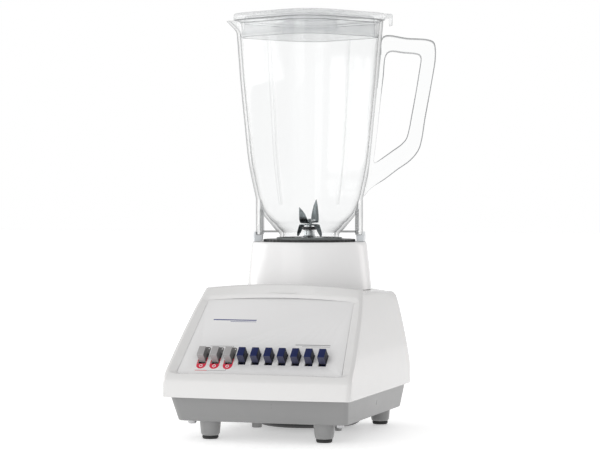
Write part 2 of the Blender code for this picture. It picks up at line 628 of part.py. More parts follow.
def wall_s(z):
    return lerp_table([(z0, h) for z0, h, r in OUT], z)[0]


# two legs below the side corners, with a web to the bowl
bm = bmesh.new()
for sg in (-1, 1):
    arc = [math.radians(a) for a in (-36, -24, -12, 0, 12, 24, 36)]
    ring = lambda z: ([AX + JS * sg * (54.4 - 25.0) + (JS * sg * math.cos(a) + JT * math.sin(a)) * 25.0 + Vector((0, 0, z)) for a in arc]
                      + [AX + JS * sg * (54.4 - 25.0) + (JS * sg * math.cos(a) + JT * math.sin(a)) * 21.2 + Vector((0, 0, z)) for a in reversed(arc)])
    loft(bm, [ring(196.8), ring(233.4)])
legs = helper("add_legs", bm)
boolean(jar, legs, 'UNION')
bm = bmesh.new()
for sg in (-1, 1):
    slab(bm, (AX, JS * sg, JT, Vector((0, 0, 1))), [(31.6, -11), (51.5, -11), (51.5, 11), (31.6, 11)], 199.2, 200.9)
boolean(jar, helper("add_webs", bm), 'UNION')

# handle: a loop in the plane of the side corners
HO = [(75.2, 398.0), (100.0, 396.2), (121.0, 394.6), (126.6, 392.0), (128.6, 386.0), (128.5, 374.0), (126.5, 363.0), (124.2, 350.0), (121.2, 333.0),
      (117.6, 313.0), (114.4, 293.0), (111.3, 282.8), (103.2, 272.4), (89.0, 262.2), (76.8, 253.0), (63.0, 244.0), (57.5, 238.0), (56.0, 236.0),
      (58.0, 246.0), (60.2, 262.0), (62.4, 282.0), (66.0, 320.0), (69.5, 356.0), (72.0, 380.0)]
HI = [(82.5, 382.4), (95.0, 381.2), (108.5, 379.9), (111.6, 378.6), (113.0, 375.6), (112.2, 368.0), (110.6, 358.0), (108.2, 343.0), (106.0, 331.0),
      (103.6, 318.0), (101.0, 304.0), (98.2, 294.5), (93.0, 288.5), (84.0, 282.0), (76.0, 276.2), (69.5, 271.6), (66.5, 270.0), (65.6, 271.5),
      (66.4, 279.0), (67.8, 291.0), (69.6, 307.0), (72.2, 331.0), (75.4, 357.0), (78.2, 379.0)]
HT = 7.6
bm = bmesh.new()
Z = Vector((0, 0, 1))
loops = []
for tab, t in ((HO, -HT + 2.6), (HO, HT - 2.6), (None, HT), (HI, HT - 2.6), (HI, -HT + 2.6), (None, -HT)):
    if tab is None:
        pts = [((a[0] + b[0]) / 2, (a[1] + b[1]) / 2) for a, b in zip(HO, HI)]
    else:
        pts = tab
    loops.append([AX + JS * s + Z * z + JT * t for s, z in pts])
loft(bm, loops, closed=True)
boolean(jar, helper("add_handle", bm), 'UNION')

# --------------------------------------------- blade assembly under the neck
bm = bmesh.new()
revolve(bm, [(26.0, 186.4), (46.8, 186.4), (46.8, 191.9), (46.2, 192.4), (33.6, 192.4), (33.2, 194.2), (30.8, 194.2), (30.8, 189.0), (26.0, 189.0)], 32, AX, True)
piece("retaining_nut", bm, BLACK, AX + Vector((0, 0, 186.4)))
bm = bmesh.new()
revolve(bm, [(25.0, 190.9), (30.3, 190.9), (30.3, 192.2), (25.0, 192.2)], 28, AX, True)
piece("seal_ring", bm, RUBBER, AX + Vector((0, 0, 190.9)))
bm = bmesh.new()
revolve(bm, [(3.5, 187.4), (7.0, 187.4), (7.5, 189.3), (30.2, 189.3), (30.2, 190.6), (24.0, 190.6), (21.0, 193.2), (8.0, 194.2),
             (5.6, 195.6), (5.0, 201.2), (3.5, 201.2)], 24, AX, True)
piece("blade_base", bm, STEEL, AX + Vector((0, 0, 187.4)))

# ------------------------------------------------------------- blade, turning
bm = bmesh.new()
revolve(bm, [(3.15, 187.6), (3.15, 212.4), (2.7, 213.0)], 16, AX, False)
piece("blade_shaft", bm, STEEL, AX + Vector((0, 0, 187.6)))
bm = bmesh.new()
revolve(bm, [(3.45, 201.7), (6.8, 201.7), (7.2, 204.8), (3.45, 204.8)], 20, AX, True)
piece("blade_washer", bm, DARK, AX + Vector((0, 0, 201.7)))
bm = bmesh.new()
loft(bm, [[AX + Vector((r * math.cos(2 * math.pi * i / 6), r * math.sin(2 * math.pi * i / 6), z)) for i in range(6)]
          for r, z in ((3.95, 210.2), (6.4, 210.2), (6.4, 212.6), (3.95, 212.6))], closed=True)
piece("blade_nut", bm, STEEL, AX + Vector((0, 0, 210.1)), smooth=0)

BLADE_TURN = math.radians(17.4 + 90 - 16)     # bearing of the upper blade
LOWER_TURN = BLADE_TURN + math.radians(49)


def blade(bm, turn, stations, th=1.5):
    """A bent strip; each station is (reach, height, half width, sideways shift)."""
    u = Vector((math.cos(turn), math.sin(turn), 0))
    v = Vector((-math.sin(turn), math.cos(turn), 0))
    rows = []
    for i, (r, z, hw, off) in enumerate(stations):
        a = stations[max(0, i - 1)]
        b = stations[min(len(stations) - 1, i + 1)]
        d = Vector((b[0] - a[0], b[1] - a[1])).normalized()
        nx, nz = -d.y, d.x
        c = AX + u * r + Vector((0, 0, z))
        rows.append([c + v * (off + q * hw) + (u * nx + Vector((0, 0, 1)) * nz) * p * th / 2
                     for p, q in ((-1, -1), (-1, 1), (1, 1), (1, -1))])
    loft(bm, rows)


UP = [(-23.0, 224.6, 0.5, 4.1), (-22.3, 221.8, 1.6, 3.0), (-21.3, 217.5, 3.2, 1.6), (-19.2, 212.4, 4.2, 0.9), (-16.6, 209.7, 4.8, 0.3), (-12.0, 209.1, 6.0, 0.0),
      (12.0, 209.1, 6.0, 0.0), (15.8, 209.8, 4.6, -0.6), (17.8, 212.6, 4.1, -0.9), (19.6, 219.0, 3.4, -0.7), (20.9, 226.5, 2.0, -0.9), (21.8, 232.2, 0.4, -1.3)]
bm = bmesh.new()
blade(bm, BLADE_TURN, UP)
bu = piece("blade_upper", bm, STEEL, AX + Vector((0, 0, 209)), smooth=40)
LO = [(-21.8, 195.6, 0.6, -1.6), (-20.6, 198.0, 2.0, -1.0), (-17.4, 202.8, 3.0, -0.3), (-14.4, 206.0, 4.0, 0.0), (-11.0, 206.9, 5.4, 0.0),
      (11.0, 206.9, 5.4, 0.0), (14.4, 206.0, 4.0, 0.0), (17.4, 202.8, 3.0, 0.3), (20.6, 198.0, 2.0, 1.0), (21.8, 195.6, 0.6, 1.6)]
bm = bmesh.new()
blade(bm, LOWER_TURN, LO)
bl = piece("blade_lower", bm, STEEL, AX + Vector((0, 0, 207)), smooth=40)
for ob, z in ((bu, 209), (bl, 207)):
    bm = bmesh.new()
    rod(bm, (0, AXIS_Y, z - 4), (0, AXIS_Y, z + 4), 3.5, 3.5, 16)
    boolean(ob, helper("cut_" + ob.name, bm), 'DIFFERENCE')

# drive socket: square well that drops over the drive stud
bm = bmesh.new()
loft(bm, [circ(10.4, 174.0), circ(10.4, 186.0), circ(5.0, 187.1), circ(3.6, 187.1), circ(3.6, 186.0), circ(1.5, 185.9), circ(1.5, 185.2), square(5.2, 185.2), square(5.2, 174.0)], closed=True)
sock = piece("drive_socket", bm, BLACK, AX + Vector((0, 0, 174)))

# ------------------------------------------------------------ lid, filler cap
LIDP = [(414.4, 76.6, 31.5), (415.4, 77.6, 32.0), (415.9, 76.9, 31.6), (416.6, 77.6, 32.0), (419.6, 77.6, 32.0), (421.1, 76.2, 31.0), (LID_TOP, 74.0, 30.0)]
rings = [jring(h, r, z) for z, h, r in LIDP]
rings += [jring(28.2, 28.2, LID_TOP), jring(28.2, 28.2, 404.0), jring(30.4, 30.4, 404.0), jring(30.4, 30.4, 418.3), jring(65.8, 27.0, 418.3), jring(66.8, 26.0, 412.0),
          jring(66.8, 25.5, 397.0), jring(70.0, 26.6, 397.0), jring(70.2, 26.6, 399.5), jring(68.9, 26.0, 401.2), jring(69.4, 26.0, 411.2), jring(70.9, 26.4, 412.0), jring(70.9, 26.4, 414.4)]
bm = bmesh.new()
loft(bm, rings, closed=True)
lid = piece("lid", bm, LIDM, AX + Vector((0, 0, 414.4)))
bm = bmesh.new()
slab(bm, (AX, JS, JT, Z), [(68, -13), (79, -12), (83.6, -8.6), (84.8, 0), (83.6, 8.6), (79, 12), (68, 13)], 416.9, 420.5)
boolean(lid, helper("add_lid_tab", bm), 'UNION')
bm = bmesh.new()
slab(bm, (AX, JS, JT, Z), [(80.8, -7.4), (83.7, -7.4), (84.5, 0), (83.7, 7.4), (80.8, 7.4)], 408.9, 418.0)
boolean(lid, helper("add_lid_hook", bm), 'UNION')

bm = bmesh.new()
revolve(bm, [(27.7, 402.0), (27.7, 421.8), (33.0, 421.8), (33.4, 422.5), (32.4, CAP_TOP), (0.4, CAP_TOP), (0.4, 421.4), (25.6, 421.2), (25.6, 402.0)], 32, AX, True)
cap = piece("filler_cap", bm, LIDM, AX + Vector((0, 0, 402)))
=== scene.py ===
"""Countertop blender: the looks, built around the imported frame. Lengths in the
helpers are millimetres in the drawing frame of the motor base; W() puts them in
the part's own frame."""
import json
import math
import bpy
import bmesh
from mathutils import Vector, Matrix


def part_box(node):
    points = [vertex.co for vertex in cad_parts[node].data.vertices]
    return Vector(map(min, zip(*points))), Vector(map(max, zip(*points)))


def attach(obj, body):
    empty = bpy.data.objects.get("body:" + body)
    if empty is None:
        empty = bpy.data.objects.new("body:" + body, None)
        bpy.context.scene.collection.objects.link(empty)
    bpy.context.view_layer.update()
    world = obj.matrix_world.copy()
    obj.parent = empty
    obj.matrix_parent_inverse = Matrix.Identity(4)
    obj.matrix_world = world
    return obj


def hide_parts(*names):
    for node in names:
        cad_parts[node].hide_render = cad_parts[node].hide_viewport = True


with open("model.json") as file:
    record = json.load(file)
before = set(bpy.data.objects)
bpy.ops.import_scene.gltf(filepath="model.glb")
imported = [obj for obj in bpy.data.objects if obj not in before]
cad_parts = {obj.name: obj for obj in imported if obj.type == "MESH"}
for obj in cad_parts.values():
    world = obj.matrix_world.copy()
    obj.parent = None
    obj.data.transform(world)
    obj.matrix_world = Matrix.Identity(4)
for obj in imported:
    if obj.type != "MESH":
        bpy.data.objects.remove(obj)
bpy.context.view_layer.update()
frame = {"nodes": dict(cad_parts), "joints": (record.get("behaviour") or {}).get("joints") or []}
NODES = frame["nodes"]
JOINTS = {j["name"]: j for j in frame["joints"]}
SC = bpy.context.scene

# ------------------------------------------------------------------ placement
_ax = JOINTS["rotor_spin"]["pos_m"]
ORG = Vector((_ax[0] * 1000, _ax[1] * 1000 - 56.0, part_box("housing")[0].z * 1000 - 22.9))


def W(p):
    return (Vector(p) + ORG) * 0.001


AXIS_Y = 56.0
AX = Vector((0, AXIS_Y, 0))
SLOPE = math.radians(43.9)
E1 = Vector((1, 0, 0))
E2 = Vector((0, math.cos(SLOPE), math.sin(SLOPE)))
EN = Vector((0, -math.sin(SLOPE), math.cos(SLOPE)))
PC = Vector((0.0, -72.85, 101.5))
RECESS = 2.3
TURN = math.radians(15.5)
JS = Vector((math.cos(TURN), math.sin(TURN), 0))
JT = Vector((-math.sin(TURN), math.cos(TURN), 0))
Z = Vector((0, 0, 1))
DECK_Z, RIDGE_Z, TOWER_TOP, SEAT_Z = 141.7, 145.3, 190.0, 186.0
JAR_RIM, LID_TOP, CAP_TOP, FLOOR_Z, FOOT_H = 414.0, 421.5, 423.0, 2.0, 5.0
BTN_N, BTN_PITCH, BTN_S, BTN_OUT = 10, 13.43, -27.3, 7.5
BX = [(k - (BTN_N - 1) / 2) * BTN_PITCH - 1.45 for k in range(BTN_N)]
VENT_Y = 53.0


# ------------------------------------------------------------- node materials
class Mat:
    """A Principled material with short ways to add procedural detail."""

    def __init__(self, name, color, rough, metal=0.0, spec=0.5, coat=0.0, coat_rough=0.05, ior=1.5):
        self.m = bpy.data.materials.new(name)
        self.m.use_nodes = True
        self.nt = self.m.node_tree
        self.b = self.nt.nodes["Principled BSDF"]
        i = self.b.inputs
        i["Base Color"].default_value = (*color, 1)
        i["Roughness"].default_value = rough
        i["Metallic"].default_value = metal
        i["Specular IOR Level"].default_value = spec
        i["Coat Weight"].default_value = coat
        i["Coat Roughness"].default_value = coat_rough
        i["IOR"].default_value = ior
        self.color, self.rough = color, rough
        self.co = self.nt.nodes.new("ShaderNodeTexCoord").outputs["Object"]
        self.height = None

    def new(self, kind, **kw):
        n = self.nt.nodes.new(kind)
        for k, v in kw.items():
            if k in n.inputs:
                n.inputs[k].default_value = v
            else:
                setattr(n, k, v)
        return n

    def link(self, a, b):
        self.nt.links.new(a, b)

    def coords(self, scale=(1, 1, 1), rot=(0, 0, 0), loc=(0, 0, 0)):
        n = self.new("ShaderNodeMapping")
        n.inputs["Scale"].default_value = scale
        n.inputs["Rotation"].default_value = rot
        n.inputs["Location"].default_value = loc
        self.link(self.co, n.inputs["Vector"])
        return n.outputs[0]

    def noise(self, scale, detail=3.0, rough=0.55, at=None, dist=0.0):
        n = self.new("ShaderNodeTexNoise", Scale=scale, Detail=detail, Roughness=rough, Distortion=dist)
        self.link(at or self.co, n.inputs["Vector"])
        return n.outputs["Fac"]

    def remap(self, fac, a, b, lo, hi):
        n = self.new("ShaderNodeMapRange")
        n.inputs["From Min"].default_value = a
        n.inputs["From Max"].default_value = b
        n.inputs["To Min"].default_value = lo
        n.inputs["To Max"].default_value = hi
        self.link(fac, n.inputs["Value"])
        return n.outputs["Result"]

    def math(self, op, a, b=None):
        n = self.new("ShaderNodeMath", operation=op)
        for k, v in enumerate((a, b)):
            if v is None:
                continue
            if isinstance(v, (int, float)):
                n.inputs[k].default_value = v
            else:
                self.link(v, n.inputs[k])
        return n.outputs[0]

    def tint(self, fac, other):
        """Blend from what the base colour is now to another colour."""
        n = self.new("ShaderNodeMix", data_type="RGBA")
        s = self.b.inputs["Base Color"]
        if s.is_linked:
            self.link(s.links[0].from_socket, n.inputs[6])
        else:
            n.inputs[6].default_value = s.default_value
        n.inputs[7].default_value = (*other, 1)
        self.link(fac, n.inputs[0])
        self.link(n.outputs[2], s)
        return self

    def roughness(self, fac):
        self.link(fac, self.b.inputs["Roughness"])
        return self

    def bump(self, h, strength, dist):
        n = self.new("ShaderNodeBump", Strength=strength, Distance=dist)
        self.link(h, n.inputs["Height"])
        s = self.b.inputs["Normal"]
        if s.is_linked:
            self.link(s.links[0].from_socket, n.inputs["Normal"])
        self.link(n.outputs[0], s)
        return self


def moulded(name, color, rough, dark, spread=0.03, fine=2600, fine_d=0.00002, wave=60, wave_d=0.0, edge=None, **kw):
    """Injection-moulded plastic: slow colour drift, fine skin, small scuffs, and, given an edge colour, painted
    highlight along the convex edges.
    """
    m = Mat(name, color, rough, **kw)
    m.tint(m.remap(m.noise(9, 2.0), 0.3, 0.75, 0.0, 0.6), dark)
    m.tint(m.remap(m.noise(420, 4.0, 0.7), 0.62, 0.8, 0.0, 0.35), dark)
    r = m.remap(m.noise(38, 4.0, 0.6), 0.3, 0.7, rough - spread, rough + spread)
    scuff = m.noise(14, 5.0, 0.7, at=m.coords((1, 1, 9), (0.4, 0.2, 0.7)))
    m.roughness(m.math("ADD", r, m.remap(scuff, 0.6, 0.75, 0.0, spread * 2)))
    m.bump(m.noise(fine, 2.0), 0.35, fine_d)
    if wave_d:
        m.bump(m.noise(wave, 1.0), 0.5, wave_d)
    # painted highlight: the convex edges (high pointiness) are tinted towards the lighter edge colour
    if edge is not None:
        g = m.new("ShaderNodeNewGeometry")
        m.tint(m.remap(g.outputs["Pointiness"], 0.53, 0.6, 0.0, 0.5), edge)
    return m


white = moulded("white_gloss_plastic", (0.755, 0.75, 0.745), 0.22, (0.735, 0.725, 0.715), spread=0.025, fine=1500, fine_d=0.00001,
                wave=30, wave_d=0.00001, edge=(0.80, 0.80, 0.795), spec=0.4, coat=0.3, coat_rough=0.05)
# the housing's white plastic in lighter tones for the tower: painted light, standing in for the light the tower catches
tower_lit_m = moulded("tower_gloss_plastic_painted_light", (0.85, 0.845, 0.845), 0.22, (0.835, 0.83, 0.825), spread=0.025, fine=1500, fine_d=0.00001,
                  wave=30, wave_d=0.00001, edge=(0.86, 0.86, 0.855), spec=0.4, coat=0.3, coat_rough=0.05)
panel_m = moulded("panel_satin", (0.815, 0.81, 0.81), 0.42, (0.795, 0.79, 0.79), fine=3800, fine_d=0.00004)
tray_m = moulded("tray_grey_plastic", (0.275, 0.275, 0.275), 0.3, (0.25, 0.25, 0.25), fine=2600, fine_d=0.00003, edge=(0.42, 0.42, 0.42))
lug_m = moulded("lug_plastic", (0.70, 0.725, 0.745), 0.28, (0.64, 0.66, 0.68), fine=2200, fine_d=0.00002)
vent_m = moulded("vent_plastic", (0.035, 0.035, 0.036), 0.42, (0.022, 0.022, 0.023), fine=2400, fine_d=0.00004, edge=(0.07, 0.07, 0.07))
black_m = moulded("black_plastic", (0.014, 0.014, 0.015), 0.33, (0.022, 0.022, 0.022), fine=2400, fine_d=0.00003, edge=(0.05, 0.05, 0.05))
phenolic_m = moulded("switch_phenolic", (0.035, 0.034, 0.036), 0.5, (0.05, 0.05, 0.05), fine=1800, fine_d=0.00004)
collar_m = moulded("collar_grey_plastic", (0.20, 0.215, 0.21), 0.4, (0.15, 0.165, 0.16), fine=2400, fine_d=0.00003)
navy_m = moulded("button_navy_plastic", (0.003, 0.0095, 0.078), 0.3, (0.005, 0.012, 0.06), fine=2800, fine_d=0.00002, edge=(0.02, 0.035, 0.15), spec=0.22)
# lit and shaded copies of the button plastics: the navy underside is painted lighter and greyer as light thrown up by
# the white panel, and the navy and grey sides are painted darker as shade
navy_underside_lit_m = moulded("button_navy_underside", (0.050, 0.052, 0.098), 0.5, (0.04, 0.042, 0.08), fine=2800, fine_d=0.00003)
navy_side_shaded_m = moulded("button_navy_side", (0.009, 0.010, 0.026), 0.45, (0.014, 0.015, 0.03), fine=2800, fine_d=0.00003, spec=0.3)
grey_side_shaded_m = moulded("button_grey_side", (0.15, 0.145, 0.147), 0.45, (0.13, 0.125, 0.127), fine=2800, fine_d=0.00003)
grey_m = moulded("button_grey_plastic", (0.36, 0.35, 0.35), 0.32, (0.35, 0.34, 0.34), fine=2800, fine_d=0.00002, edge=(0.52, 0.51, 0.51), coat=0.2, coat_rough=0.12)
rubber_m = moulded("foot_rubber", (0.012, 0.012, 0.012), 0.62, (0.03, 0.03, 0.03), fine=2400, fine_d=0.00008)
seal_m = moulded("seal_rubber", (0.02, 0.02, 0.02), 0.55, (0.035, 0.035, 0.035), fine=2400, fine_d=0.00006)
carbon_m = moulded("pressed_carbon", (0.03, 0.03, 0.031), 0.6, (0.06, 0.06, 0.06), fine=3000, fine_d=0.00008)
ink_red = moulded("ink_red", (0.70, 0.022, 0.065), 0.45, (0.62, 0.02, 0.05), fine=3000, fine_d=0.00002)
ink_grey = moulded("ink_dark_grey", (0.115, 0.11, 0.11), 0.45, (0.14, 0.135, 0.135), fine=3000, fine_d=0.00002)
ink_line = moulded("ink_line_grey", (0.32, 0.32, 0.32), 0.45, (0.37, 0.37, 0.37), fine=3000, fine_d=0.00002)
ink_navy = moulded("ink_navy", (0.02, 0.035, 0.19), 0.42, (0.03, 0.045, 0.2), fine=3000, fine_d=0.00002)
ink_white = moulded("ink_white", (0.85, 0.85, 0.85), 0.45, (0.8, 0.8, 0.8), fine=3000, fine_d=0.00002)


def metal(name, color, rough, dark, stretch=(1, 1, 40), scale=300, depth=0.00002, aniso=0.0):
    m = Mat(name, color, rough, metal=1.0)
    lines = m.noise(scale, 3.0, 0.6, at=m.coords(stretch))
    m.tint(m.remap(lines, 0.35, 0.7, 0.0, 0.55), dark)
    m.roughness(m.remap(m.noise(scale * 0.7, 3.0, 0.6, at=m.coords(stretch)), 0.3, 0.7, rough - 0.06, rough + 0.1))
    m.bump(lines, 0.4, depth)
    m.b.inputs["Anisotropic"].default_value = aniso
    return m


steel_m = metal("brushed_stainless", (0.50, 0.52, 0.525), 0.24, (0.33, 0.36, 0.365), scale=420, stretch=(1, 1, 14))
screw_m = metal("screw_steel", (0.55, 0.55, 0.56), 0.3, (0.42, 0.42, 0.43), scale=500, stretch=(1, 1, 6))
brass_m = metal("machined_brass", (0.68, 0.50, 0.20), 0.28, (0.5, 0.35, 0.12), scale=500, stretch=(1, 1, 20))


def laminated(name, color, dark):
    """Stacked steel sheets: fine level lines down the sides."""
    m = Mat(name, color, 0.42, metal=0.85)
    w = m.new("ShaderNodeTexWave", wave_type="BANDS", bands_direction="Z")
    w.inputs["Scale"].default_value = 320.0
    w.inputs["Distortion"].default_value = 0.15
    m.link(m.co, w.inputs["Vector"])
    m.tint(m.remap(w.outputs["Fac"], 0.1, 0.5, 0.8, 0.0), dark)
    m.tint(m.remap(m.noise(160, 4.0), 0.55, 0.75, 0.0, 0.5), (0.16, 0.13, 0.11))
    m.bump(w.outputs["Fac"], 0.5, 0.00015)
    return m


iron_m = laminated("lamination_steel", (0.30, 0.30, 0.315), (0.12, 0.12, 0.125))
bracket_m = metal("bracket_steel", (0.42, 0.42, 0.44), 0.36, (0.32, 0.32, 0.34), scale=260, stretch=(6, 1, 1))


def wound(name, color, dark):
    """Enamelled copper wire laid side by side; the grooves between the wires are painted dark as shade."""
    m = Mat(name, color, 0.3, metal=0.9, coat=0.5)
    w = m.new("ShaderNodeTexWave", wave_type="BANDS", bands_direction="DIAGONAL")
    w.inputs["Scale"].default_value = 260.0
    w.inputs["Distortion"].default_value = 1.2
    w.inputs["Detail Scale"].default_value = 2.0
    m.link(m.co, w.inputs["Vector"])
    # painted shade: darker in the grooves between the wires
    m.tint(m.remap(w.outputs["Fac"], 0.0, 0.6, 0.85, 0.0), dark)
    m.bump(w.outputs["Fac"], 0.7, 0.0003)
    return m


copper_m = wound("enamelled_copper", (0.60, 0.20, 0.075), (0.16, 0.045, 0.02))


blade_m = metal("ground_blade_steel", (0.235, 0.262, 0.268), 0.2, (0.075, 0.09, 0.095), scale=330, stretch=(1, 1, 0.12))


# ---------------------------------------------------------- clear materials
def see_through(name, tint, edge, fmin, fmax, power, gloss=0.04, line=0.5, mirror=0.22):
    """Clear plastic: light passes where it is seen face on, it greys where it
    turns away, along its moulded edges grey is painted on as shade, and the surface is polished."""
    m = bpy.data.materials.new(name)
    m.use_nodes = True
    nt = m.node_tree
    nt.nodes.clear()
    N, L = nt.nodes.new, nt.links.new

    def mth(op, a, b, clamp=False):
        n = N("ShaderNodeMath")
        n.operation, n.use_clamp = op, clamp
        for k, v in enumerate((a, b)):
            if isinstance(v, (int, float)):
                n.inputs[k].default_value = v
            else:
                L(v, n.inputs[k])
        return n.outputs[0]

    def span(v, a, b, lo, hi):
        n = N("ShaderNodeMapRange")
        for k, q in (("From Min", a), ("From Max", b), ("To Min", lo), ("To Max", hi)):
            n.inputs[k].default_value = q
        L(v, n.inputs["Value"])
        return n.outputs[0]
    out = N("ShaderNodeOutputMaterial")
    co = N("ShaderNodeTexCoord")
    clear = N("ShaderNodeBsdfTransparent")
    clear.inputs["Color"].default_value = (*tint, 1)
    body = N("ShaderNodeBsdfPrincipled")
    body.inputs["Base Color"].default_value = (*edge, 1)
    body.inputs["Roughness"].default_value = 0.35
    body.inputs["Specular IOR Level"].default_value = 0.25
    lw = N("ShaderNodeLayerWeight")
    lw.inputs["Blend"].default_value = 0.5
    turn = lw.outputs["Facing"]
    grey = span(mth("POWER", turn, power), 0.0, 1.0, fmin, fmax)
    geo = N("ShaderNodeNewGeometry")
    # painted shade: grey along the moulded edges (high pointiness), as much as line gives
    crease = span(geo.outputs["Pointiness"], 0.515, 0.60, 0.0, line)
    flow = N("ShaderNodeTexNoise")
    flow.inputs["Scale"].default_value = 35
    flow.inputs["Detail"].default_value = 3
    L(co.outputs["Object"], flow.inputs["Vector"])
    vary = span(flow.outputs["Fac"], 0.0, 1.0, 0.85, 1.1)
    fac = mth("MULTIPLY", mth("MAXIMUM", grey, crease), vary, True)
    mix = N("ShaderNodeMixShader")
    L(fac, mix.inputs[0]); L(clear.outputs[0], mix.inputs[1]); L(body.outputs[0], mix.inputs[2])
    shine = N("ShaderNodeBsdfGlossy")
    shine.inputs["Roughness"].default_value = gloss
    shine.inputs["Color"].default_value = (1, 1, 1, 1)
    bump = N("ShaderNodeBump")
    bump.inputs["Strength"].default_value = 0.4
    bump.inputs["Distance"].default_value = 0.00005
    L(flow.outputs["Fac"], bump.inputs["Height"])
    L(bump.outputs[0], shine.inputs["Normal"])
    top = N("ShaderNodeMixShader")
    L(span(mth("POWER", turn, 4.0), 0.0, 1.0, 0.02, mirror), top.inputs[0])
    L(mix.outputs[0], top.inputs[1]); L(shine.outputs[0], top.inputs[2])
    L(top.outputs[0], out.inputs["Surface"])
    return m


clear_m = see_through("clear_jar_plastic", (0.993, 0.995, 0.995), (0.075, 0.082, 0.085), 0.003, 0.98, 4.1, line=0.15)
# greyer copies of the clear plastic: painted shade on the handle's rims, the ends and webs of the legs, and the inner
# ribs
clear_edge_shade_m = see_through("clear_jar_edge_painted_shade", (0.99, 0.992, 0.992), (0.14, 0.15, 0.155), 0.50, 0.70, 1.5, line=0.05)
clear_rib_shade_m = see_through("clear_jar_rib_painted_shade", (0.993, 0.995, 0.995), (0.28, 0.295, 0.30), 0.15, 0.45, 3.0, line=0.1)
lid_m = see_through("translucent_lid_plastic", (0.985, 0.987, 0.988), (0.62, 0.63, 0.635), 0.045, 0.70, 3.6, gloss=0.06, line=0.85)
skirt_m = see_through("translucent_skirt_plastic", (0.975, 0.977, 0.978), (0.50, 0.51, 0.515), 0.15, 0.72, 3.2, gloss=0.06, line=0.85)
# darker copy of the lid plastic for the lid's downward faces: painted shade
underside_shade_m = see_through("translucent_underside_painted_shade", (0.9, 0.905, 0.905), (0.14, 0.145, 0.15), 0.62, 0.95, 1.2, gloss=0.12, line=0.6)
cap_m = see_through("translucent_cap_plastic", (0.985, 0.986, 0.987), (0.62, 0.63, 0.635), 0.004, 0.10, 3.0, gloss=0.08, line=0.3)


# ------------------------------------------------------------- mesh functions
def loft(bm, rings, closed=False, caps=True):
    vs = [[bm.verts.new(p) for p in r] for r in rings]
    n = len(rings[0])
    pairs = list(zip(vs[:-1], vs[1:]))
    if closed:
        pairs.append((vs[-1], vs[0]))
    for a, b in pairs:
        for i in range(n):
            j = (i + 1) % n
            bm.faces.new((a[i], a[j], b[j], b[i]))
    if not closed and caps:
        bm.faces.new(list(reversed(vs[0])))
        bm.faces.new(vs[-1])
    return vs


def arc_rings(rings, radii, seg=5, closed=False):
    """Round the stack at each ring that has a radius, along a short curve."""
    out = []
    n = len(rings)
    for k, r in enumerate(rings):
        d = radii.get(k, 0)
        if not d or (not closed and k in (0, n - 1)):
            out.append(r)
            continue
        a, b = rings[(k - 1) % n], rings[(k + 1) % n]
        A, B = [], []
        for p, q0, q1 in zip(r, a, b):
            l0, l1 = (q0 - p).length, (q1 - p).length
            A.append(p + (q0 - p) * (min(d, 0.46 * l0) / l0 if l0 > 1e-6 else 0))
            B.append(p + (q1 - p) * (min(d, 0.46 * l1) / l1 if l1 > 1e-6 else 0))
        for i in range(seg + 1):
            t = i / seg
            out.append([x * (1 - t) ** 2 + p * 2 * t * (1 - t) + y * t * t for x, p, y in zip(A, r, B)])
    return out


def ellipse(c, a, b, z, n, turn=0.0):
    return [Vector((c[0] + a * math.cos(turn + 2 * math.pi * i / n), c[1] + b * math.sin(turn + 2 * math.pi * i / n), z)) for i in range(n)]


def revolve(bm, prof, n, c, closed, radii=None, seg=4, shape=None):
    rings = []
    for r, z in prof:
        rings.append([Vector((c[0] + rr * math.cos(2 * math.pi * i / n), c[1] + rr * math.sin(2 * math.pi * i / n), z))
                      for i in range(n) for rr in ((shape(i, r, z) if shape else r),)])
    loft(bm, arc_rings(rings, radii or {}, seg, closed), closed)


def slab(bm, fr, outline, n0, n1):
    o, u, v, w = fr
    loft(bm, [[o + u * a + v * b + w * n for a, b in outline] for n in (n0, n1)])


def rod(bm, p0, p1, r0, r1, n=32):
    p0, p1 = Vector(p0), Vector(p1)
    w = (p1 - p0).normalized()
    u = w.orthogonal().normalized()
    v = w.cross(u)
    loft(bm, [[p + (u * math.cos(2 * math.pi * i / n) + v * math.sin(2 * math.pi * i / n)) * r for i in range(n)] for p, r in ((p0, r0), (p1, r1))])


def box(bm, lo, hi):
    (x0, y0, z0), (x1, y1, z1) = lo, hi
    loft(bm, [[Vector(p) for p in ((x0, y0, z), (x1, y0, z), (x1, y1, z), (x0, y1, z))] for z in (z0, z1)])


def make(name, bm, mat=None):
    bmesh.ops.recalc_face_normals(bm, faces=bm.faces[:])
    for v in bm.verts:
        v.co = W(v.co)
    me = bpy.data.meshes.new(name)
    bm.to_mesh(me)
    bm.free()
    ob = bpy.data.objects.new(name, me)
    SC.collection.objects.link(ob)
    if mat is not None:
        me.materials.append(mat.m if isinstance(mat, Mat) else mat)
    return ob


def settle(ob):
    """Put the modifiers' result in the mesh."""
    dg = bpy.context.evaluated_depsgraph_get()
    me = bpy.data.meshes.new_from_object(ob.evaluated_get(dg))
    ob.modifiers.clear()
    ob.data = me


def join(ob, others, op):
    for o in others:
        m = ob.modifiers.new(op.lower(), 'BOOLEAN')
        m.operation, m.object, m.solver = op, o, 'EXACT'
    settle(ob)
    for o in others:
        bpy.data.objects.remove(o, do_unlink=True)


def bevel(ob, width, seg=3, angle=35):
    m = ob.modifiers.new("bevel", 'BEVEL')
    m.width, m.segments, m.limit_method = width * 0.001, seg, 'ANGLE'
    m.angle_limit = math.radians(angle)
    m.miter_outer = 'MITER_ARC'
    m.use_clamp_overlap = True
    settle(ob)


def place(ob, body, rep=(), smooth=40):
    ob.data.shade_smooth()
    if smooth:
        ob.data.set_sharp_from_angle(angle=math.radians(smooth))
    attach(ob, body)
    if rep:
        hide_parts(*rep)
    return ob


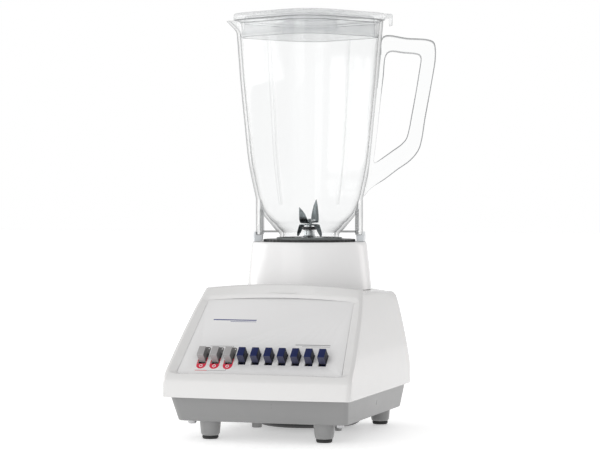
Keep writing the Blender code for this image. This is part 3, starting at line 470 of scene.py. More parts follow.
# ------------------------------------------------------------ base's outline
def base_ring(w, yf, yr, rf, rr, bf, br, z, zf=None, crown=0.0, nf=65, nr=57, nc=12, ns=16):
    pts = []

    def fy(x):
        return yf - bf * (1 - (x / w) ** 2)

    def by(x):
        return yr + br * (1 - (x / w) ** 2)

    def add(x, y, front):
        if front and zf is not None:
            pts.append(Vector((x, y, zf + crown * (1 - min(1.0, abs(x) / w) ** 2))))
        else:
            pts.append(Vector((x, y, z)))
    for i in range(nf):
        x = (-w + rf) + (2 * w - 2 * rf) * i / (nf - 1)
        add(x, fy(x), True)
    yc = fy(w - rf)
    for i in range(1, nc):
        a = -math.pi / 2 + math.pi / 2 * i / nc
        add(w - rf + rf * math.cos(a), yc + rf + rf * math.sin(a), True)
    yb = by(w - rr)
    for i in range(ns + 1):
        t = i / ns
        add(w, (yc + rf) * (1 - t) + (yb - rr) * t, False)
    for i in range(1, nc):
        a = math.pi / 2 * i / nc
        add(w - rr + rr * math.cos(a), yb - rr + rr * math.sin(a), False)
    for i in range(nr):
        x = (w - rr) - (2 * w - 2 * rr) * i / (nr - 1)
        add(x, by(x), False)
    for i in range(1, nc):
        a = math.pi / 2 + math.pi / 2 * i / nc
        add(-w + rr + rr * math.cos(a), yb - rr + rr * math.sin(a), False)
    for i in range(ns + 1):
        t = i / ns
        add(-w, (yb - rr) * (1 - t) + (yc + rf) * t, False)
    for i in range(1, nc):
        a = math.pi + math.pi / 2 * i / nc
        add(-w + rf + rf * math.cos(a), yc + rf + rf * math.sin(a), True)
    return [Vector((p.x * (w + 1.65) / w - 1.65, p.y, p.z)) for p in pts]


def smooth_table(table, z):
    """Cubic through the rows, with slopes that never overshoot."""
    zs = [r[0] for r in table]
    z = min(max(z, zs[0]), zs[-1])
    k = max(i for i in range(len(zs) - 1) if zs[i] <= z + 1e-9)
    out = []
    for c in range(1, len(table[0])):
        v = [r[c] for r in table]
        d = [(v[i + 1] - v[i]) / (zs[i + 1] - zs[i]) for i in range(len(zs) - 1)]
        s = [d[0]] + [(0 if d[i - 1] * d[i] <= 0 else 2 * d[i - 1] * d[i] / (d[i - 1] + d[i])) for i in range(1, len(d))] + [d[-1]]
        h = zs[k + 1] - zs[k]
        t = (z - zs[k]) / h
        out.append(v[k] * (2 * t ** 3 - 3 * t * t + 1) + s[k] * h * (t ** 3 - 2 * t * t + t) + v[k + 1] * (3 * t * t - 2 * t ** 3) + s[k + 1] * h * (t ** 3 - t * t))
    return out


HOUSING = [(44.0, 92.5, -117.0, 4.0, 117.0, 4.0), (60.0, 92.8, -114.0, 4.0, 115.0, 5.0), (64.5, 92.6, -111.5, 3.5, 114.2, 5.5),
           (80.0, 91.3, -95.3, 2.0, 110.0, 8.0), (100.0, 88.5, -74.5, 1.0, 105.0, 11.5), (122.0, 84.8, -51.5, 1.0, 99.5, 15.5),
           (139.0, 80.8, -33.8, 1.5, 95.0, 19.0)]
TW = 3.3
RF, RR = 5.0, 10.0
inner = []
for z in (48.0, 56.0, 64.5, 80.0, 100.0, 122.0, 138.9):
    w, yf, bf, yr, br = smooth_table(HOUSING, z)
    inner.append(base_ring(w - TW, yf + TW, yr - TW, 4, 7, bf, br, z))


def soft(t):
    t = min(1.0, max(0.0, t))
    return t * t * (3 - 2 * t)


def reach(p):
    return math.hypot(p.x / 63.5, (p.y - AXIS_Y) / 57.5)


def sag(ring):
    return [Vector((p.x, p.y, p.z - 3.0 * soft((p.y - 25) / 60) * soft((reach(p) - 1.02) / 0.22))) for p in ring]


inner[-1] = sag(inner[-1])


def hole_ring(a, b, z):
    return [Vector((a * math.cos(t), AXIS_Y + b * math.sin(t), z))
            for p in base_ring(80.8, -33.8, 95.0, RF, 9, 1.5, 19, z) for t in (math.atan2(p.y - 40.0, p.x),)]


outer = [base_ring(87.2, -111.5, 111.5, 4, 6, 4, 4, 44.0)]
zs = [44.0, 47, 50, 54, 57, 59, 60, 61, 62, 63, 64, 65, 66.5, 69, 72] + [76 + 4.2 * i for i in range(15)]
for z in zs + [139.0]:
    w, yf, bf, yr, br = smooth_table(HOUSING, z)
    outer.append(base_ring(w, yf, yr, RF, RR, bf, br, z))
outer[-1] = sag(outer[-1])
k_ridge = len(outer)
hub = hole_ring(50, 47, DECK_Z)
edge = base_ring(75.5, -19.5, 92.0, RF, 7, 2, 18, DECK_Z)
outer.append(sag(base_ring(79.2, -27.2, 94.2, RF, 9, 2, 19.3, DECK_Z - 0.6, RIDGE_Z, 4.5)))
outer.append(sag(base_ring(77.5, -22.0, 93.0, RF, 8, 2, 18.5, DECK_Z, RIDGE_Z - 0.2, 4.5)))
outer.append(sag(edge))
outer.append([a.lerp(b, min(0.85, 0.22 / max(0.2, reach(b) - 0.8))) for a, b in zip(hub, edge)])
outer.append(hub)
outer = arc_rings(outer, {1: 0.9, k_ridge - 1: 3.0, k_ridge: 2.2, k_ridge + 1: 1.6, k_ridge + 2: 1.0}, 5)
bm = bmesh.new()
loft(bm, outer + [hole_ring(50, 47, 138.9)] + list(reversed(inner)), closed=True)
housing = make("housing_shell", bm, white)

POSTS = [(-74.5, -88, 60.0), (74.5, -88, 60.0), (-62, 70, 139.2), (62, 70, 139.2)]
bm = bmesh.new()
for x, y, z in POSTS:
    rod(bm, (x, y, 22.9), (x, y, z), 5.0, 5.6, 24)
posts = make("posts", bm)
bm = bmesh.new()
for sg in (-1, 1):
    x0, x1 = sorted((sg * 75.0, sg * 91.2))
    box(bm, (x0, -89.5, 47.0), (x1, -86.5, 58.0))
webs = make("webs", bm)
join(housing, [posts, webs], 'UNION')


def face_n(X, s):
    """How far the sloped face stands out of its own plane at a panel point."""
    lo, hi = 61.0, 139.0
    for _ in range(28):
        z = (lo + hi) / 2
        w, yf, bf, yr, br = smooth_table(HOUSING, z)
        p = Vector((X, yf - bf * (1 - ((X + 1.65) / (w + 1.65)) ** 2), z)) - PC
        if p.dot(E2) < s:
            lo = z
        else:
            hi = z
    return p.dot(EN)


def rounded(poly, rad, seg=6):
    out = []
    n = len(poly)
    for i in range(n):
        p, a, b = Vector(poly[i]), Vector(poly[i - 1]), Vector(poly[(i + 1) % n])
        r = rad[i] if isinstance(rad, (list, tuple)) else rad
        u, v = (a - p), (b - p)
        A, B = p + u.normalized() * min(r, u.length * 0.48), p + v.normalized() * min(r, v.length * 0.48)
        for k in range(seg + 1):
            t = k / seg
            out.append(tuple(A * (1 - t) ** 2 + p * 2 * t * (1 - t) + B * t * t))
    return out


def resample(poly, step):
    out = []
    n = len(poly)
    for i in range(n):
        a, b = Vector(poly[i]), Vector(poly[(i + 1) % n])
        m = max(1, int((b - a).length / step))
        for k in range(m):
            out.append(a.lerp(b, k / m))
    return [tuple(p) for p in out]


arch = [(73.6 - 147.2 * i / 24, 48.2 + 2.6 * (1 - ((73.6 - 147.2 * i / 24) / 73.5) ** 2)) for i in range(25)]
opening = rounded([(-81.6, -48.2), (81.6, -48.2)] + arch, [3.2, 3.2, 3.4] + [0.01] * 23 + [3.4], 8)
opening = [(p[0] * 1.016 - 1.3, p[1]) for p in opening]
opening = [p for i, p in enumerate(opening) if (Vector(p) - Vector(opening[i - 1])).length > 0.05]
opening = resample(opening, 6.0)
nrm = []
for i, p in enumerate(opening):
    t = (Vector(opening[(i + 1) % len(opening)]) - Vector(opening[i - 1])).normalized()
    nrm.append(Vector((t.y * 7.5, -t.x * (4.3 if p[1] > 0 else 3.5))))
BEVEL_N = -1.9
base_n = [-2.28 if p[1] > 46 else BEVEL_N for p in opening]
levels = [[(Vector(p), -7.0, None) for p in opening], [(Vector(p), b, None) for p, b in zip(opening, base_n)]]
for k, dn, on in ((0.25, 0.25, 0), (0.5, 0.5, 0), (0.75, 0.75, 0), (0.90, 0.875, 0), (0.97, 0.94, 0), (1.03, 0.97, 0), (1.10, 0.995, 0), (1.18, 1.01, 0), (1.5, 1.0, 1.2)):
    levels.append([(Vector(p) + n * k, (dn, on), 1) for p, n in zip(opening, nrm)])
bm = bmesh.new()
rings = []
for lev in levels:
    rings.append([PC + E1 * q.x + E2 * q.y + EN * (d if f is None else b + (face_n(q.x, q.y) - b) * d[0] + d[1]) for (q, d, f), b in zip(lev, base_n)])
loft(bm, rings)
cut = make("cut_opening", bm)
bm = bmesh.new()
rod(bm, (52, 109, 62), (52, 127, 62), 6.6, 6.6, 32)
cut2 = make("cut_inlet", bm)
bm = bmesh.new()
for x, y, z in POSTS:
    rod(bm, (x, y, 20.0), (x, y, 44.0), 2.3, 2.3, 16)
cut3 = make("cut_screws", bm)
join(housing, [cut, cut2, cut3], 'DIFFERENCE')
place(housing, "base", ["housing"], 38)

# ------------------------------------------------------------------ base tray
TRAY = [(19.8, 83.6, -97.0, 0.5, 107.0, 0.5), (22.6, 84.1, -98.3, 0.6, 107.6, 0.6), (43.6, 87.4, -108.5, 1.5, 112.0, 1.5)]
rings = []
rings.append(base_ring(60, -70, 80, 6, 6, 0.5, 0.5, 19.8))
for z in (19.8, 26, 32, 38, 43.6):
    t = max(0.0, (z - 19.8) / 23.8)
    w, yf, bf, yr, br = [a * (1 - t) + b * t for a, b in zip((83.6, -97.0, 0.5, 107.0, 0.5), (87.4, -108.5, 1.5, 112.0, 1.5))]
    rings.append(base_ring(w, yf, yr, 6.5, 8, bf, br, z))
for z in (43.6, 22.5):
    t = max(0.0, (z - 19.8) / 23.8)
    w, yf, bf, yr, br = [a * (1 - t) + b * t for a, b in zip((83.6, -97.0, 0.5, 107.0, 0.5), (87.4, -108.5, 1.5, 112.0, 1.5))]
    rings.append(base_ring(w - 2.5, yf + 2.5, yr - 2.5, 4.5, 6, bf, br, z))
rings.append(base_ring(60, -70, 80, 6, 6, 0.5, 0.5, 22.5))
bm = bmesh.new()
loft(bm, arc_rings(rings, {1: 1.6, 5: 0.7, 6: 0.7}, 5))
tray = make("tray_shell", bm, tray_m)
FEET = [("front_left", -57.5, -83.5), ("front_right", 57.5, -83.5), ("rear_left", -64.2, 94.5), ("rear_right", 64.2, 94.5)]
adds = []
for _, x, y in FEET:
    bm = bmesh.new()
    revolve(bm, [(4.0, FOOT_H + 0.3), (7.9, FOOT_H + 0.3), (9.0, FOOT_H + 1.9), (9.5, FOOT_H + 4.6), (10.2, 19.0), (11.2, 20.2), (11.2, 21.2)], 48, (x, y), False,
            {1: 0.5, 2: 1.2, 3: 1.5, 4: 1.0})
    adds.append(make("foot", bm))
for x, y, z, r in ((-18.5, -58, 11.4, 4.9), (-63.5, -56, 10.4, 3.3), (63.5, -56, 10.4, 3.3)):
    bm = bmesh.new()
    revolve(bm, [(r * 0.5, z), (r, z), (r + 0.4, 21.2)], 32, (x, y), False, {1: 0.6})
    adds.append(make("boss", bm))
join(tray, adds, 'UNION')
bm = bmesh.new()
rod(bm, (0, VENT_Y, 12), (0, VENT_Y, 30), 44, 44, 64)
c1 = make("c1", bm)
bm = bmesh.new()
for x, y, z in POSTS:
    rod(bm, (x, y, 12), (x, y, 30), 2.4, 2.4, 16)
c2 = make("c2", bm)
join(tray, [c1, c2], 'DIFFERENCE')
place(tray, "base", ["base_tray"], 38)
for nm, x, y in FEET:
    bm = bmesh.new()
    revolve(bm, [(3.0, FLOOR_Z + 0.5), (5.6, FLOOR_Z + 0.5), (5.9, FLOOR_Z), (7.2, FLOOR_Z), (7.9, FLOOR_Z + 1.6), (7.9, FOOT_H), (4.0, FOOT_H)], 40, (x, y), False,
            {2: 0.2, 3: 0.7, 4: 0.6, 5: 0.4})
    place(make("foot_rubber_" + nm, bm, rubber_m), "base", ["foot_pad_" + nm], 40)

# vent cover under the fan
bm = bmesh.new()
revolve(bm, [(0.6, 3.9), (40, 4.0), (48, 4.6), (52.5, 7.5), (53.8, 12.0), (53.8, 19.5), (51.4, 19.5), (51.4, 12.6), (50.6, 9.2), (47.2, 6.8), (40, 6.2), (0.6, 6.1)],
        96, (0, VENT_Y), True, {2: 2.0, 3: 2.0, 4: 1.5, 5: 0.5, 6: 0.5, 8: 1.0, 9: 1.0})
vent = make("vent_guard", bm, vent_m)
cuts = []
bm = bmesh.new()
for i in range(24):
    a = 2 * math.pi * (i + 0.5) / 24
    u = Vector((math.cos(a), math.sin(a), 0))
    v = Vector((-math.sin(a), math.cos(a), 0))
    slab(bm, (Vector((0, VENT_Y, 0)), u, v, Z), rounded([(16, -0.9), (35, -2.0), (35, 2.0), (16, 0.9)], 0.8, 4), 2, 12)
join(vent, [make("slots", bm)], 'DIFFERENCE')
bevel(vent, 0.3, 2, 50)
place(vent, "base", ["vent_cover"], 40)

# ---------------------------------------------------------------- motor tower
NT = 192
prof = [(63.5, 57.5, 142.0), (62.6, 57.0, 152.0), (58.9, 55.3, 186.8), (58.2, 54.7, 189.2), (57.2, 54.0, TOWER_TOP),
        (50.4, 50.4, TOWER_TOP), (49.6, 49.6, 189.0), (49.4, 49.4, SEAT_Z), (25.5, 25.5, SEAT_Z), (25.0, 25.0, 171.4),
        (10.2, 10.2, 171.4), (10.2, 10.2, 168.8), (27.6, 27.6, 168.8), (28.0, 28.0, 183.4),
        (54.8, 51.6, 183.4), (60.0, 54.2, 152.0), (60.6, 54.6, 142.0)]
rings = [ellipse(AX, a, b, z, NT) for a, b, z in prof]
rings = arc_rings(rings, {2: 1.6, 3: 0.8, 4: 0.6, 5: 0.5, 6: 0.5, 7: 1.0, 8: 0.8, 9: 0.8, 10: 0.4}, 5, closed=True)
bm = bmesh.new()
loft(bm, rings, closed=True)
tower = make("tower_shell", bm, tower_lit_m)
place(tower, "base", ["motor_tower"], 38)

for nm, sg in (("left", -1), ("right", 1)):
    rows = []
    arc = [math.radians(-15 + 30 * i / 16) for i in range(17)]
    for r0, r1, z in ((49.9, 57.0, 190.3), (49.2, 57.2, 196.4), (55.4, 57.2, 196.4), (55.8, 56.8, 199.6)):
        rows.append([AX + (JS * sg * math.cos(a) + JT * math.sin(a)) * r1 + Z * z for a in arc]
                    + [AX + (JS * sg * math.cos(a) + JT * math.sin(a)) * r0 + Z * z for a in reversed(arc)])
    bm = bmesh.new()
    loft(bm, rows)
    lug = make("rim_lug_" + nm, bm, lug_m)
    bevel(lug, 0.45, 3, 40)
    place(lug, "base", ["jar_lug_" + nm], 40)

# -------------------------------------------------------------- button panel
PF = (PC, E1, E2, EN)
po = rounded([(-84.2, -51.5), (84.2, -51.5), (76.8, 50.5), (50, 53.5), (0, 54.5), (-50, 53.5), (-76.8, 50.5)], 1.5, 4)
po = [(p[0] * 1.016 - 1.3, p[1]) for p in po]
bm = bmesh.new()
slab(bm, PF, po, -RECESS - 2.4, -RECESS)
panel = make("panel_plate", bm, panel_m)
bm = bmesh.new()
for x in BX:
    slab(bm, PF, rounded([(x - 3.85, BTN_S - 7.9), (x + 3.85, BTN_S - 7.9), (x + 3.85, BTN_S + 6.8), (x - 3.85, BTN_S + 6.8)], 0.4, 3), -8, 2)
for sg in (1,):
    slab(bm, PF, [(x * 1.016 - 1.3, y) for x, y in ((sg * 81.75, -46.6), (sg * 81.0, -46.6), (sg * 73.55, 46.2), (sg * 74.3, 46.2))], -RECESS - 1.7, 2)
join(panel, [make("slots", bm)], 'DIFFERENCE')
bevel(panel, 0.22, 2, 50)
place(panel, "base", ["control_panel"], 40)


def decal(name, polys, mat, n1=0.10, n0=-0.02):
    bm = bmesh.new()
    for poly in polys:
        slab(bm, PF, poly, -RECESS + n0, -RECESS + n1)
    return place(make(name, bm, mat), "base", (), 40)


def stroke(a, b, w):
    a, b = Vector(a), Vector(b)
    d = (b - a).normalized()
    n = Vector((-d.y, d.x)) * w / 2
    return [tuple(a - n), tuple(b - n), tuple(b + n), tuple(a + n)]


def arc(cx, cy, r, a0, a1, n):
    return [(cx + r * math.cos(math.radians(a0 + (a1 - a0) * i / n)), cy + r * math.sin(math.radians(a0 + (a1 - a0) * i / n))) for i in range(n + 1)]


for k in range(3):
    x, hw, sp, b = BX[k], 4.75, -29.0, -41.6
    sl, sr, sb, st = x - 3.85, x + 3.85, BTN_S - 7.9, BTN_S + 6.8
    low = arc(x, b + hw, hw, 180, 360, 28) + [(x + hw, sp + 1.6), (sr + 0.02, sp + 1.0), (sr + 0.02, sb - 0.02), (sl - 0.02, sb - 0.02), (sl - 0.02, sp - 0.6), (x - hw, sp - 1.0)]
    up = [(x + hw, sp + 1.6), (x + hw, -16.4)] + arc(x + hw - 2.6, -16.4, 2.6, 0, 90, 8)[1:] + arc(x - hw + 2.6, -16.4, 2.6, 90, 180, 8) \
        + [(x - hw, sp - 1.0), (sl - 0.02, sp - 0.6), (sl - 0.02, st + 0.02), (sr + 0.02, st + 0.02), (sr + 0.02, sp + 1.0)]
    decal("tongue_red_%d" % (k + 1), [low], ink_red)
    decal("tongue_grey_%d" % (k + 1), [up], ink_grey)
    ring = arc(x, b + 3.7, 1.75, 0, 360, 28)[:-1]
    hole = arc(x, b + 3.7, 1.05, 0, 360, 28)[:-1]
    bm = bmesh.new()
    loft(bm, [[PC + E1 * p + E2 * q + EN * (-RECESS + n) for p, q in pts] for pts, n in ((ring, 0.09), (ring, 0.16), (hole, 0.16), (hole, 0.09))], closed=True)
    place(make("tongue_ring_%d" % (k + 1), bm, ink_white), "base", (), 40)
    # a small white disc at the top right of each tongue: a painted highlight
    decal("tongue_glint_%d" % (k + 1), [arc(x + 3.1, -16.0, 0.62, 0, 360, 16)[:-1]], ink_white, 0.16, 0.09)
decal("bracket_line_top", [stroke((-58.5, -12.4), (-34.6, -12.0), 0.42), stroke((-34.7, -12.0), (-34.7, -13.8), 0.42)], ink_line)
decal("bracket_line_red", [stroke((-66.5, -43.9), (-54.5, -43.8), 0.6)], ink_red)
decal("bracket_line_low", [stroke((-54.4, -43.8), (-35.8, -43.5), 0.42), stroke((-35.8, -43.5), (-35.4, -41.2), 0.42)], ink_line)
decal("trim_stripe_navy", [stroke((-64.0, 22.4), (-19.8, 22.4), 1.15), stroke((-46.0, 20.3), (-19.8, 20.3), 0.45)], ink_navy)
decal("trim_stripe_grey", [stroke((27.0, -8.6), (61.8, -8.6), 0.9), stroke((34.0, -10.6), (61.8, -10.6), 0.4)], ink_line)

# ------------------------------------------------------------------- buttons
for k, x in enumerate(BX):
    o = PC + E1 * x + E2 * BTN_S

    def rect(a, b0, b1, n):
        return [o + E1 * p + E2 * q + EN * n for p, q in ((-a, b0), (a, b0), (a, b1), (-a, b1))]
    bm = bmesh.new()
    loft(bm, [rect(3.45, -5.1, 6.2, -4.2), rect(3.44, -5.08, 6.18, -2.25 if k > 2 else -3.3), rect(3.42, -5.05, 6.15, 7.4)])
    bm.normal_update()
    bmesh.ops.recalc_face_normals(bm, faces=bm.faces[:])
    # the root inside the slot is painted black as the shade in the slot gap; the underside takes the painted light copy
    # and the sides the painted shade copy
    for f in bm.faces:
        if (f.calc_center_median() - o).dot(EN) < (-2.3 if k > 2 else -3.35):
            f.material_index = 3
        elif f.normal.dot(E2) < -0.7:
            f.material_index = 1
        elif abs(f.normal.x) > 0.7:
            f.material_index = 2
    head = make("button_cap_%d" % (k + 1), bm, grey_m if k < 3 else navy_m)
    head.data.materials.append((grey_m if k < 3 else navy_underside_lit_m).m)
    head.data.materials.append((grey_side_shaded_m if k < 3 else navy_side_shaded_m).m)
    head.data.materials.append(black_m.m)
    bevel(head, 0.4, 4, 40)
    bm = bmesh.new()
    loft(bm, [rect(2.4, -3.5, 3.5, -14.5), rect(2.4, -3.5, 3.5, -3.9)])
    join(head, [make("stem", bm)], 'UNION')
    place(head, "button_body_%d" % (k + 1), ["button_%d" % (k + 1)], 40)

# ---------------------------------------------------------------- cord inlet
INLET = Vector((52.0, 118.0, 62.0))
u, v, wv = Vector((1, 0, 0)), Vector((0, 0, 1)), Vector((0, 1, 0))
prof = [(4.0, -7), (6.2, -7), (6.2, 2.5), (9.0, 2.5), (8.6, 4.6), (4.6, 4.6)]
rings = [[INLET + wv * z + (u * math.cos(2 * math.pi * i / 48) + v * math.sin(2 * math.pi * i / 48)) * r for i in range(48)] for r, z in prof]
bm = bmesh.new()
loft(bm, arc_rings(rings, {1: 0.5, 3: 0.4, 4: 1.2, 5: 0.8, 0: 0.4}, 4, closed=True), closed=True)
place(make("inlet_bush", bm, black_m), "base", ["cord_inlet"], 40)


# ------------------------------------------------------------------------ jar
def jring(h, r, z, nc=18, ns=14, rib=None):
    """Rounded square with its corners along JS and JT; rib(d) pushes the middle
    of each flat in or out, d being the distance from that middle."""
    out = []
    r = min(r, h - 0.6)
    for k in range(4):
        c = math.pi / 2 * k
        d0 = JS * math.cos(c) + JT * math.sin(c)
        cc = d0 * (h - r)
        for j in range(nc + 1):
            a = c - math.pi / 4 + math.pi / 2 * j / nc
            out.append(AX + cc + (JS * math.cos(a) + JT * math.sin(a)) * r + Z * z)
        a = c + math.pi / 4
        n = JS * math.cos(a) + JT * math.sin(a)
        c2 = c + math.pi / 2
        p0 = cc + n * r
        p1 = (JS * math.cos(c2) + JT * math.sin(c2)) * (h - r) + n * r
        L = (p1 - p0).length
        g = min(1.0, L / 18)
        for e in (-0.38 * L, -0.25 * L, -0.15 * L, -1.9 * g, -1.35 * g, -0.55 * g, 0.0, 0.55 * g, 1.35 * g, 1.9 * g, 0.15 * L, 0.25 * L, 0.38 * L):
            out.append(AX + p0.lerp(p1, 0.5 + e / L) + n * (rib(e, z) if rib else 0.0) + Z * z)
    return out


SPOUT_Z0 = 402.0


def spout(ring, z, reach=9.6):
    if z <= SPOUT_Z0:
        return ring
    k = ((z - SPOUT_Z0) / (JAR_RIM - SPOUT_Z0)) ** 1.25
    out = []
    for p in ring:
        d = p - AX
        s, t = d.dot(JS), d.dot(JT)
        if s < 0:
            q = max(0.0, 1 - abs(t) / 17.0)
            q = q * q * (3 - 2 * q)
            p = p - JS * reach * k * q
        out.append(p)
    return out


def rib_in(e, z):
    k = max(0.0, min(1.0, (z - 226) / 8)) * max(0.0, min(1.0, (398 - z) / 6))
    a = abs(e)
    return -0.95 * k * (1.0 if a < 0.6 else 0.22 if a < 1.6 else 0.0)


OUT = [(192.5, 30.3, 30.3), (197.0, 30.3, 30.3), (202.8, 35.5, 35.0), (207.5, 39.3, 34.0), (213.7, 44.5, 32.0), (219.8, 49.0, 28.5), (226.0, 52.0, 26.0),
       (232.0, 54.1, 25.0), (242.0, 56.3, 25.3), (256.0, 59.3, 25.8), (272.6, 62.2, 26.5), (313.0, 66.4, 28.0), (354.0, 70.4, 29.0), (394.0, 73.4, 30.0),
       (402.0, 74.1, 30.0), (408.0, 74.7, 30.0), (413.0, 75.1, 30.0)]
INN = [(199.0, 26.7, 26.7), (204.4, 32.2, 32.2), (208.9, 36.0, 33.2), (209.9, 37.4, 33.0), (214.0, 41.2, 29.0), (220.0, 45.6, 25.0), (227.0, 48.6, 22.6), (234.0, 51.2, 22.0),
       (252.0, 55.2, 22.4), (272.6, 59.0, 23.3), (313.0, 63.2, 24.8), (354.0, 67.2, 25.8), (394.0, 70.3, 26.8), (402.0, 71.0, 26.9), (408.0, 71.5, 26.9), (413.2, 72.2, 27.3)]
zo = [192.5, 194.5, 197.0] + [197.0 + 2.4 * i for i in range(1, 16)] + [234 + 5 * i for i in range(33)] + [400, 402, 404, 406, 408, 410, 411.5, 412.6]
zi = [199.0, 201, 203, 205, 207, 208.9, 209.9] + [211.5 + 2.6 * i for i in range(10)] + [238 + 5 * i for i in range(32)] + [397, 400, 402, 404, 406, 408, 410, 411.5, 412.8]
o_r = []
for z in zo:
    h, r = smooth_table(OUT, z)
    o_r.append(spout(jring(h, r, z), z))
o_r.append(spout(jring(75.15, 30.0, 413.3), 413.3))
o_r.append(spout(jring(74.9, 29.8, 413.8), 413.8))
o_r.append(spout(jring(74.2, 29.2, 414.0), 414.0))
o_r.append(spout(jring(73.1, 28.1, 414.0), 414.0))
o_r.append(spout(jring(72.5, 27.5, 413.7), 413.7))
i_r = []
for z in zi:
    h, r = smooth_table(INN, z)
    i_r.append(spout(jring(h, r, z, rib=rib_in), z))
i_r = [jring(26.7, 26.7, 192.5), jring(26.7, 26.7, 196.0)] + i_r
bm = bmesh.new()
grid = loft(bm, o_r + list(reversed(i_r)), closed=True)
NJ = len(o_r[0])
bm.faces.index_update()
# painted shade: the inner ribs' faces take the greyer rib copy
for f in bm.faces:
    col, row = f.index % NJ, f.index // NJ
    c = col % (NJ // 4) - 18
    if row > len(o_r) and c in (5, 8) and 228 < f.verts[0].co.z < 399:
        f.material_index = 2
jar = make("clear_jar", bm, clear_m)
jar.data.materials.append(clear_edge_shade_m)
jar.data.materials.append(clear_rib_shade_m)

adds = []
bm = bmesh.new()
for sg in (-1, 1):
    arc_a = [math.radians(-36 + 72 * i / 24) for i in range(25)]

    def leg(z, g=0.0):
        c = AX + JS * sg * 29.4
        return ([c + (JS * sg * math.cos(a) + JT * math.sin(a)) * (25.0 - g) + Z * z for a in arc_a]
                + [c + (JS * sg * math.cos(a) + JT * math.sin(a)) * (21.2 + g) + Z * z for a in reversed(arc_a)])
    loft(bm, [leg(196.8, 0.5), leg(197.2, 0.12), leg(197.9), leg(215), leg(232.6)])
bm.normal_update()
# painted shade: the legs' end faces take the greyer edge copy
for f in bm.faces:
    if abs(f.normal.dot(JT)) > 0.7:
        f.material_index = 1
adds.append(make("legs", bm))
bm = bmesh.new()
for sg in (-1, 1):
    slab(bm, (AX, JS * sg, JT, Z), [(31.6, -11), (51.5, -11), (51.5, 11), (31.6, 11)], 199.2, 200.9)
# painted shade: the leg webs take the greyer edge copy
for f in bm.faces:
    f.material_index = 1
adds.append(make("leg_webs", bm))
HO = [(75.2, 398.0), (100.0, 396.2), (121.0, 394.6), (126.4, 392.0), (128.15, 386.0), (128.1, 374.0), (126.5, 363.0), (124.2, 350.0), (121.2, 333.0),
      (117.6, 313.0), (114.4, 293.0), (111.3, 282.8), (103.2, 272.4), (89.0, 262.2), (76.8, 253.0), (63.0, 244.0), (57.5, 238.0), (56.0, 236.0),
      (58.0, 246.0), (60.2, 262.0), (62.4, 282.0), (66.0, 320.0), (69.5, 356.0), (72.0, 380.0)]
HI = [(82.5, 382.4), (95.0, 381.2), (108.5, 379.9), (111.6, 378.6), (113.0, 375.6), (112.2, 368.0), (110.6, 358.0), (108.2, 343.0), (106.0, 331.0),
      (103.6, 318.0), (101.0, 304.0), (98.2, 294.5), (93.0, 288.5), (84.0, 282.0), (76.0, 276.2), (69.5, 271.6), (66.5, 270.0), (65.6, 271.5),
      (66.4, 279.0), (67.8, 291.0), (69.6, 307.0), (72.2, 331.0), (75.4, 357.0), (78.2, 379.0)]


def catmull(pts, m):
    out = []
    n = len(pts)
    for i in range(n):
        p0, p1, p2, p3 = (Vector(pts[(i + k - 1) % n]) for k in range(4))
        for j in range(m):
            t = j / m
            t0 = 0.0
            t1 = t0 + max(1e-3, (p1 - p0).length) ** 0.5
            t2 = t1 + max(1e-3, (p2 - p1).length) ** 0.5
            t3 = t2 + max(1e-3, (p3 - p2).length) ** 0.5
            x = t1 + (t2 - t1) * t
            a1 = p0 * ((t1 - x) / (t1 - t0)) + p1 * ((x - t0) / (t1 - t0))
            a2 = p1 * ((t2 - x) / (t2 - t1)) + p2 * ((x - t1) / (t2 - t1))
            a3 = p2 * ((t3 - x) / (t3 - t2)) + p3 * ((x - t2) / (t3 - t2))
            b1 = a1 * ((t2 - x) / (t2 - t0)) + a2 * ((x - t0) / (t2 - t0))
            b2 = a2 * ((t3 - x) / (t3 - t1)) + a3 * ((x - t1) / (t3 - t1))
            out.append(b1 * ((t2 - x) / (t2 - t1)) + b2 * ((x - t1) / (t2 - t1)))
    return out


co, ci = catmull(HO, 6), catmull(HI, 6)
HT, HR = 7.6, 2.4
stations = []
for a, b in zip(co, ci):
    c, e = (a + b) / 2, (a - b) / 2
    L = e.length
    e = e.normalized()
    r = min(HR, L * 0.9)
    sec = []
    for sx, sy, a0 in ((1, 1, 0), (-1, 1, 90), (-1, -1, 180), (1, -1, 270)):
        for j in range(6):
            an = math.radians(a0 + 90 * j / 5)
            px = sx * (L - r) + r * math.cos(an)
            py = sy * (HT - r) + r * math.sin(an)
            q = c + e * px
            sec.append(AX + JS * q.x + Z * q.y + JT * py)
    stations.append(sec)
bm = bmesh.new()
loft(bm, stations, closed=True)
bm.faces.index_update()
# painted shade: the handle's rim faces, away from the jar, take the greyer edge copy
for f in bm.faces:
    if f.index % 24 in (0, 1, 2, 8, 9, 10, 11, 12, 13, 14, 20, 21, 22, 23) and f.verts[0].co.x > 68:
        f.material_index = 1
adds.append(make("handle", bm))
join(jar, adds, 'UNION')
place(jar, "jar_body", ["jar"], 32)

# ------------------------------------------------- nut, seal, blade assembly
bm = bmesh.new()
revolve(bm, [(26.0, 186.4), (46.8, 186.4), (46.8, 191.9), (46.2, 192.4), (33.6, 192.4), (33.2, 194.2), (30.8, 194.2), (30.8, 189.0), (26.0, 189.0)], 288, AX, True,
        {1: 0.5, 3: 0.3, 5: 0.4, 6: 0.3}, 3, shape=lambda i, r, z: r - (0.55 * max(0.0, math.cos(2 * math.pi * i / 288 * 48)) ** 2 if r > 46 else 0))
for f in bm.faces:
    if min(v.co.z for v in f.verts) > 192.2 and f.calc_center_median().z > 192.5:
        f.material_index = 1
ring_nut = make("ring_nut", bm, black_m)
ring_nut.data.materials.append(collar_m.m)
place(ring_nut, "jar_body", ["retaining_nut"], 40)
bm = bmesh.new()
revolve(bm, [(25.0, 190.9), (30.3, 190.9), (30.3, 192.2), (25.0, 192.2)], 96, AX, True, {0: 0.4, 1: 0.4, 2: 0.4, 3: 0.4}, 3)
place(make("seal_gasket", bm, seal_m), "jar_body", ["seal_ring"], 40)
bm = bmesh.new()
